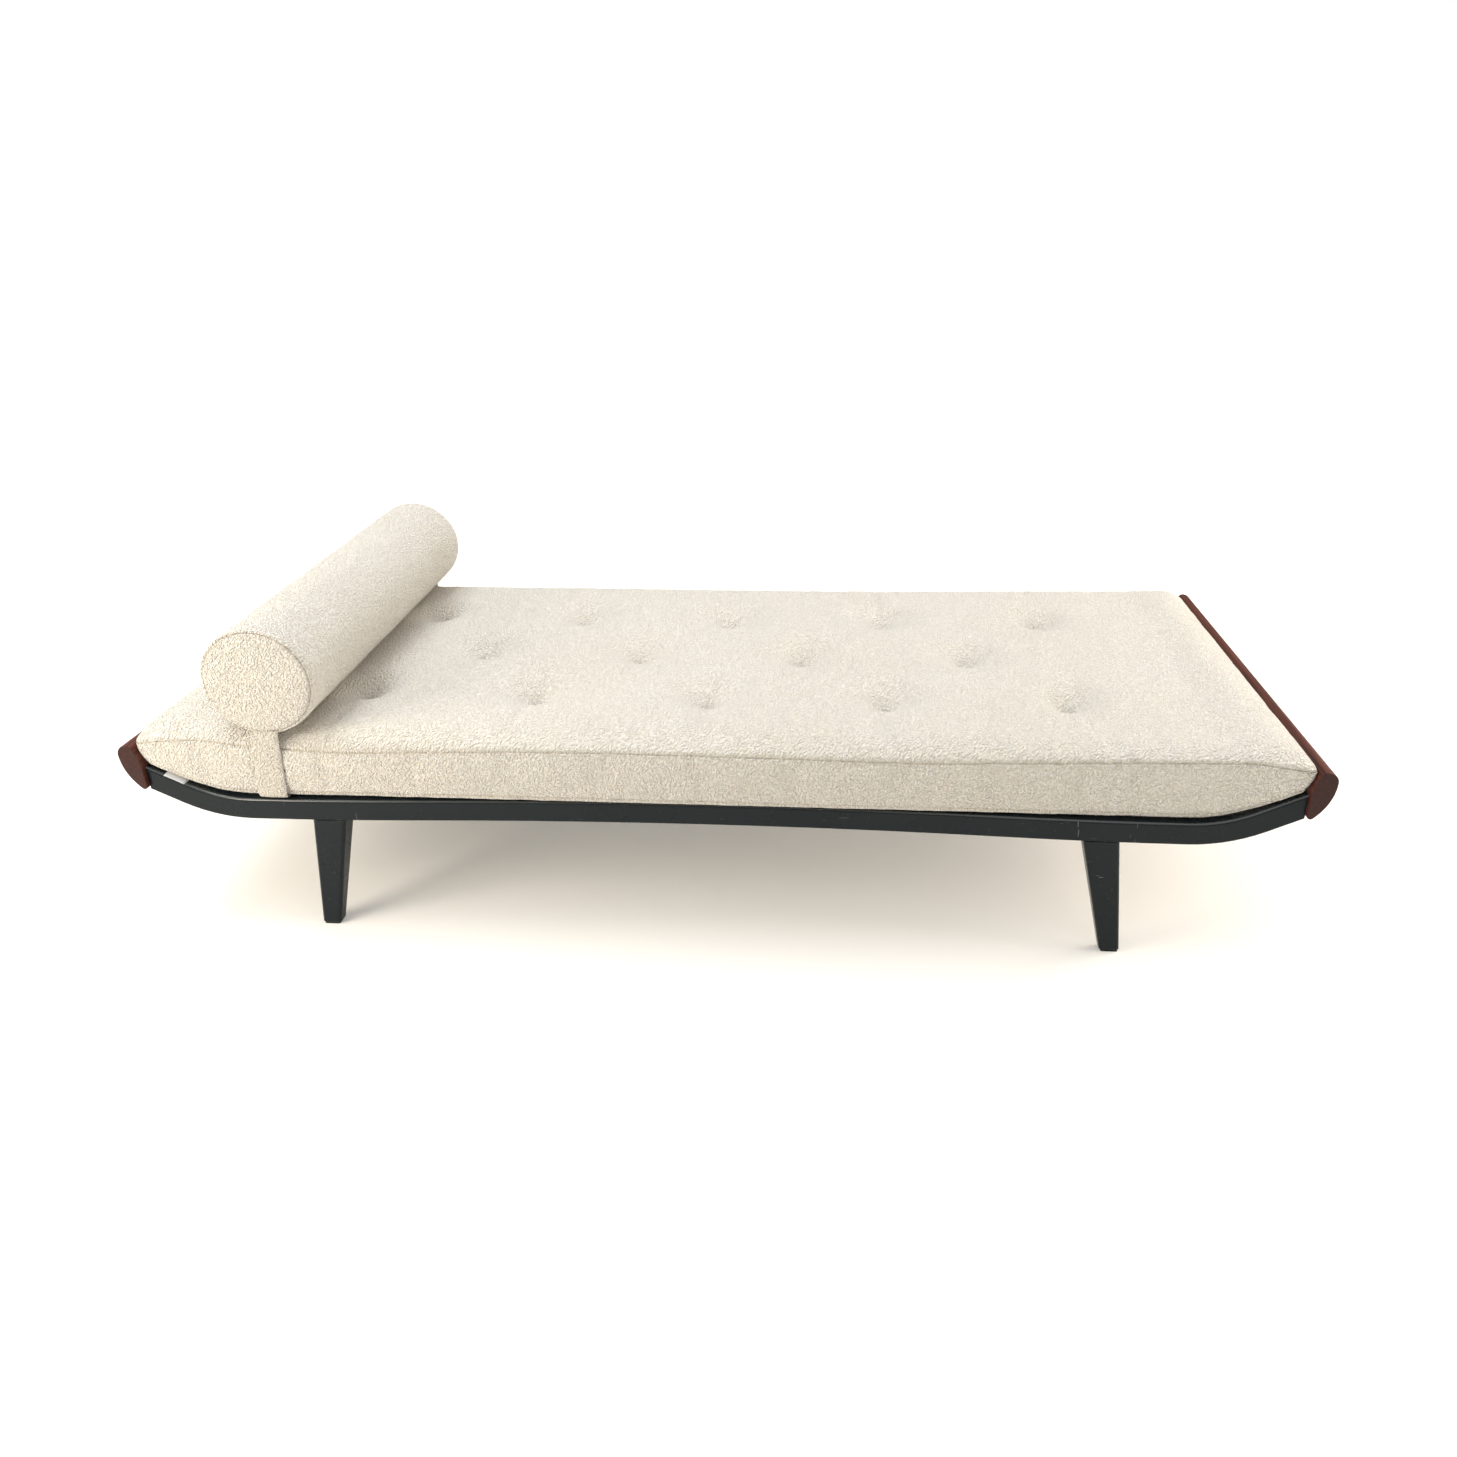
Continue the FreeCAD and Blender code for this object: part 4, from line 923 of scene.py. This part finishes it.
def make_strap():
    """One flat doubled band of the mattress's cloth, softly rounded at its edges."""
    path = strap_path()
    along = np.gradient(path, axis=0)
    along /= np.linalg.norm(along, axis=1, keepdims=True)
    out = np.stack([along[:, 1], -along[:, 0]], -1)
    drawn = np.random.default_rng(3)
    angle = np.arange(STRAP_SECTION) * 2 * math.pi / STRAP_SECTION
    flat_x, thick = squared(np.cos(angle), 0.72), squared(np.sin(angle), 0.85)
    points = []
    for i, (y, z) in enumerate(path):
        tall = np.clip((z - STRAP_RUN) / (20 * MM), 0, 1)
        lean = np.interp(math.copysign(z, y) / MM, list(STRAP_LEAN), list(STRAP_LEAN.values())) * MM
        half = STRAP_THIN + STRAP_PLUMP * tall
        height = np.clip((z - STRAP_RUN) / (STRAP_TOP - STRAP_RUN), 0, 1)
        spread_out = STRAP_SPREAD * (1 - height) * tall
        width = STRAP_HALF * (0.97 + spread_out) + drawn.normal() * 0.35 * MM * tall
        ripple = drawn.normal(size=2) * 0.25 * MM * tall
        shift = out[i] * (thick[:, None] * half) + ripple * 0.5
        points.append(np.stack([lean + flat_x * width, y + shift[:, 0], z + shift[:, 1]], -1))
    count = len(points)
    index = np.arange(count * STRAP_SECTION).reshape(count, STRAP_SECTION)
    index = np.concatenate([index, index[:, :1]], 1)
    faces = grid_faces(index)
    faces += [index[0, :-1].tolist(), index[-1, :-1][::-1].tolist()]
    piece = new_piece("strap_band", np.concatenate(points), faces, SHADED_CREAM_STRAP, "bolster")
    outside(piece)
    refine(piece, 2)
    spots = coordinates(piece.data)
    tall = np.clip((spots[:, 2] - STRAP_RUN - 6 * MM) / (20 * MM), 0, 1)
    push_out(piece.data, smooth_field(spots, 14 * MM, 31) * tall * 0.35 * MM)
    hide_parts("strap_front", "strap_under", "strap_back")


make_strap()


# ---------------------------------------------------------------- care label

LABEL_WALL = 0.35 * MM
LABEL_HANG = 4 * MM  # past the label's box, since the cushion swells over it
LABEL_FOLD = 1.2 * MM  # how far the fold's round comes out
LABEL_APART = 0.55 * MM  # from the middle plane to each layer
LABEL_COLUMNS = 14
FOLD_STEPS = 24


def make_label():
    """A blank woven tape, folded in half and sewn into the lower seam."""
    low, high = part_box("care_label")
    slope = math.atan(END_SLOPE)
    length = (high.x - low.x) / math.cos(slope)
    front = low.y - LABEL_HANG
    fold = []
    for angle in np.linspace(-math.pi / 2, math.pi / 2, FOLD_STEPS + 1):
        fold.append((front + LABEL_FOLD * (1 - math.cos(angle)), LABEL_APART * math.sin(angle)))
    layer = [(high.y, -LABEL_APART)]
    for s in np.linspace(0.15, 0.85, 8):
        layer.append((high.y + (front - high.y) * s, -LABEL_APART - 0.3 * MM * math.sin(3 * s)))
    profile = layer + fold + [(y, -z) for y, z in layer[::-1]]
    points, middle = [], (low + high) / 2
    for share in np.linspace(0, 1, LABEL_COLUMNS + 1):
        along = (share - 0.5) * length
        x = middle.x + along * math.cos(slope)
        curl = 0.5 * MM * math.sin(math.pi * share) - 0.2 * MM
        z = middle.z - along * math.sin(slope) + LABEL_WALL
        points += [(x, y, z + up + curl) for y, up in profile]
    index = np.arange(len(points)).reshape(-1, len(profile))
    piece = new_piece("label_tape", points, grid_faces(index), TAPE, "mattress")
    modifier = piece.modifiers.new("wall", "SOLIDIFY")
    modifier.thickness, modifier.offset = LABEL_WALL, 0.0
    graph = bpy.context.evaluated_depsgraph_get()
    piece.data = bpy.data.meshes.new_from_object(piece.evaluated_get(graph))
    piece.modifiers.clear()
    outside(piece)
    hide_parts("care_label")


make_label()


# ---------------------------------------------------------------- tufting twine

TWINE_RADIUS = 0.9 * MM
STITCH_HALF = 3.2 * MM
STITCH_FLOOR = 330 * MM


def make_ties():
    """Twine through the mattress at each tuft, with a short stitch lying in the hollow."""
    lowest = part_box("tuft_ties")[0].z
    surface = coordinates(mattress.data)
    points, faces = [], []
    for number, (tx, ty) in enumerate(TUFTS):
        near = np.hypot(surface[:, 0] - tx, surface[:, 1] - ty) < 6 * MM
        pit = surface[near & (surface[:, 2] > STITCH_FLOOR), 2].min()
        lean = math.radians(20 + 37 * number)
        line = [(tx, ty, lowest + 1 * MM), (tx, ty, pit - 12 * MM), (tx, ty, pit - 4 * MM)]
        for step in np.linspace(-1, 1, 7):
            aside = STITCH_HALF * step
            line.append((tx + math.cos(lean) * aside, ty + math.sin(lean) * aside,
                         pit + (1.5 - 2.6 * step * step) * MM))
        add_tube(points, faces, line, TWINE_RADIUS, 8)
    piece = new_piece("tuft_stitches", points, faces, TWINE, "mattress")
    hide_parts("tuft_ties")


def add_tube(points, faces, line, radius, sides):
    """A round tube along a line of points, closed at both ends."""
    line = np.asarray(line, float)
    along = np.gradient(line, axis=0)
    along /= np.maximum(np.linalg.norm(along, axis=1, keepdims=True), 1e-9)
    side = np.cross(along[0], (0.31, 0.17, 0.93))
    first = len(points)
    for spot, ahead in zip(line, along):
        side = side - ahead * side.dot(ahead)
        side /= np.linalg.norm(side)
        other = np.cross(ahead, side)
        for k in range(sides):
            turn = 2 * math.pi * k / sides
            points.append(spot + (side * math.cos(turn) + other * math.sin(turn)) * radius)
    for i in range(len(line) - 1):
        for k in range(sides):
            a, b = first + i * sides + k, first + i * sides + (k + 1) % sides
            faces.append((a, b, b + sides, a + sides))
    faces.append(tuple(first + k for k in range(sides))[::-1])
    faces.append(tuple(first + (len(line) - 1) * sides + k for k in range(sides)))


make_ties()


# ---------------------------------------------------------------- link mesh

WIRE_RADIUS = 0.85 * MM
MESH_PITCH = 15 * MM
MESH_TURN = 21 * MM
MESH_SWELL = 0.55 * MM
# One turn of a flattened spiral: how far aside, along its turn and up.
SPIRAL = ((-1.0, 0.0, -0.35), (-0.93, 0.10, 0.55), (0.93, 0.40, 0.9), (1.0, 0.50, 0.35),
          (0.93, 0.60, -0.55), (-0.93, 0.90, -0.9))
NEIGHBOUR_SHIFT = 0.49  # every other spiral starts this share of a turn farther on
RAIL_TOP = 261 * MM
FLANGE_EDGE = 366 * MM
FLANGE_WALL = 3 * MM
BOW_DEPTH = 20 * MM
BOW_REACH = 780 * MM
BOW_TURN = 500 * MM
HOOK_OVER = 6.5 * MM  # how far a hook goes past the flange's edge
HOOK_BEND = 0.7 * MM


def drawn_in(x):
    """How far the mesh's pull bows a rail in at x."""
    x = abs(x)
    slope = 2 * BOW_DEPTH / BOW_REACH
    if x >= BOW_REACH:
        return 0.0
    if x >= BOW_TURN:
        return (BOW_REACH - x) ** 2 * slope / (2 * (BOW_REACH - BOW_TURN))
    return BOW_DEPTH - x * x * slope / (2 * BOW_TURN)


def make_link_mesh():
    """Flattened wire spirals across the bed, each linked through its neighbours, and their ends."""
    low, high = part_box("link_mesh")
    level = (low.z + high.z) / 2
    count = int((high.x - low.x) / MESH_PITCH)
    first = (low.x + high.x) / 2 - (count - 1) / 2 * MESH_PITCH
    half_width = MESH_PITCH / 2 + WIRE_RADIUS * 1.1
    turns = int((high.y - low.y) / MESH_TURN)
    start = (low.y + high.y) / 2 - turns * MESH_TURN / 2
    points, faces, ends = [], [], []
    for number in range(count):
        x = first + number * MESH_PITCH
        offset = NEIGHBOUR_SHIFT * (number % 2)
        line = []
        for turn in range(turns):
            for side, step, lift in SPIRAL:
                y = start + (turn + step + offset) * MESH_TURN
                if y < high.y:
                    line.append((x + side * half_width, y, level + lift * MESH_SWELL))
        add_tube(points, faces, line, WIRE_RADIUS, 4)
        ends.append((x, line[0], line[-1]))
    piece = new_piece("link_mesh_wires", points, faces, WIRE, "frame")
    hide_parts("link_mesh")
    return ends


def make_hooks(ends):
    """A wire hook at each spiral's end, over the rail's flange and back beneath it."""
    points, faces = [], []
    over = RAIL_TOP + WIRE_RADIUS * 1.05
    beneath = RAIL_TOP - FLANGE_WALL - WIRE_RADIUS * 1.05
    for x, front_end, back_end in ends:
        for sign, end in ((-1, front_end), (1, back_end)):
            edge = FLANGE_EDGE - drawn_in(x)
            tip = edge + HOOK_OVER
            side = ((edge - 6 * MM, end[2]), (edge - 3 * MM, over - 0.6 * MM),
                    (edge + 1 * MM, over), (tip - 1 * MM, over), (tip, over - HOOK_BEND),
                    (tip, beneath + HOOK_BEND), (tip - 1 * MM, beneath), (edge, beneath))
            line = [end] + [(x, sign * y, z) for y, z in side]
            add_tube(points, faces, line, WIRE_RADIUS, 5)
    new_piece("mesh_hooks", points, faces, WIRE, "frame")


make_hooks(make_link_mesh())


# ---------------------------------------------------------------- floor and light

WHITE = (1.0, 1.0, 1.0, 1.0)
FLOOR_REACH = 30.0
FLOOR_NEAR, FLOOR_FAR = 1.6, 5.0  # between these distances the floor's own glow grows
FLOOR_GLOW = (0.16, 0.50)


def make_floor():
    """A wide pale floor that glows a little, more so far away, so that it meets the white backdrop."""
    mesh = bpy.data.meshes.new("floor")
    corners = [(x * FLOOR_REACH, y * FLOOR_REACH, 0) for x, y in ((-1, -1), (1, -1), (1, 1), (-1, 1))]
    mesh.from_pydata(corners, [], [(0, 1, 2, 3)])
    f = Finish("pale_floor", Roughness=0.9, Specular_IOR_Level=0.1, Emission_Color=WHITE)
    mottle = f.spread(f.noise(1.2, detail=3.0), 0.3, 0.7)
    away = f.node("ShaderNodeVectorMath", {"operation": "LENGTH"}, i0=f.place).outputs["Value"]
    f.feed(f.shader.inputs["Emission Strength"], f.spread(away, FLOOR_NEAR, FLOOR_FAR, *FLOOR_GLOW))
    mesh.materials.append(f.done(f.mix(mottle, linear("F1EEE8"), linear("EFECE6"))))
    floor = bpy.data.objects.new("floor", mesh)
    scene.collection.objects.link(floor)


def area_light(name, spot, target, size, power, colour):
    """A soft box aimed at a point."""
    data = bpy.data.lights.new(name, "AREA")
    data.shape, data.size, data.size_y = "RECTANGLE", size[0], size[1]
    data.energy, data.color = power, colour
    light = bpy.data.objects.new(name, data)
    light.location = spot
    light.rotation_euler = (Vector(target) - Vector(spot)).to_track_quat("-Z", "Y").to_euler()
    scene.collection.objects.link(light)


HORIZON = 0.22  # below this height of the sky, its light stays as at the horizon
WORLD_ABOVE = (0.905, 0.945, 1.0, 1.0)
WORLD_ROUND = (1.0, 0.88, 0.70, 1.0)
WORLD_POWER = (0.05, 1.44)  # at the horizon, and straight above


def make_world():
    """Soft light all round, stronger from above, behind a plain white backdrop."""
    world = bpy.data.worlds.new("studio")
    world.use_nodes = True
    w = Nodes(world.node_tree)
    place = w.node("ShaderNodeTexCoord").outputs["Generated"]
    height = w.node("ShaderNodeSeparateXYZ", i0=place).outputs["Z"]
    upward = w.spread(height, HORIZON, 1.0)
    light = w.tree.nodes["Background"]
    w.feed(light.inputs["Color"], w.mix(upward, WORLD_ROUND, WORLD_ABOVE))
    w.feed(light.inputs["Strength"], w.spread(upward, 0.0, 1.0, *WORLD_POWER))
    backdrop = w.node("ShaderNodeBackground", Color=WHITE)
    seen = w.node("ShaderNodeLightPath").outputs["Is Camera Ray"]
    both = w.node("ShaderNodeMixShader", i0=seen, i1=light.outputs[0], i2=backdrop.outputs[0])
    w.feed(w.tree.nodes["World Output"].inputs["Surface"], both.outputs[0])
    scene.world = world


make_floor()
make_world()
area_light("overhead", (-1.0, 0.4, 3.1), (-0.2, 0.0, 0.3), (2.8, 1.3), 62.0, (0.94, 0.97, 1.0))
area_light("key", (-1.70, -1.20, 1.00), (-0.75, -0.39, 0.46), (0.8, 0.8), 21.0, (1.0, 0.91, 0.77))
area_light("fill", (2.6, 0.1, 1.1), (-0.6, 0.0, 0.45), (1.8, 1.2), 52.0, (1.0, 0.93, 0.84))
scene.view_settings.view_transform = "Standard"
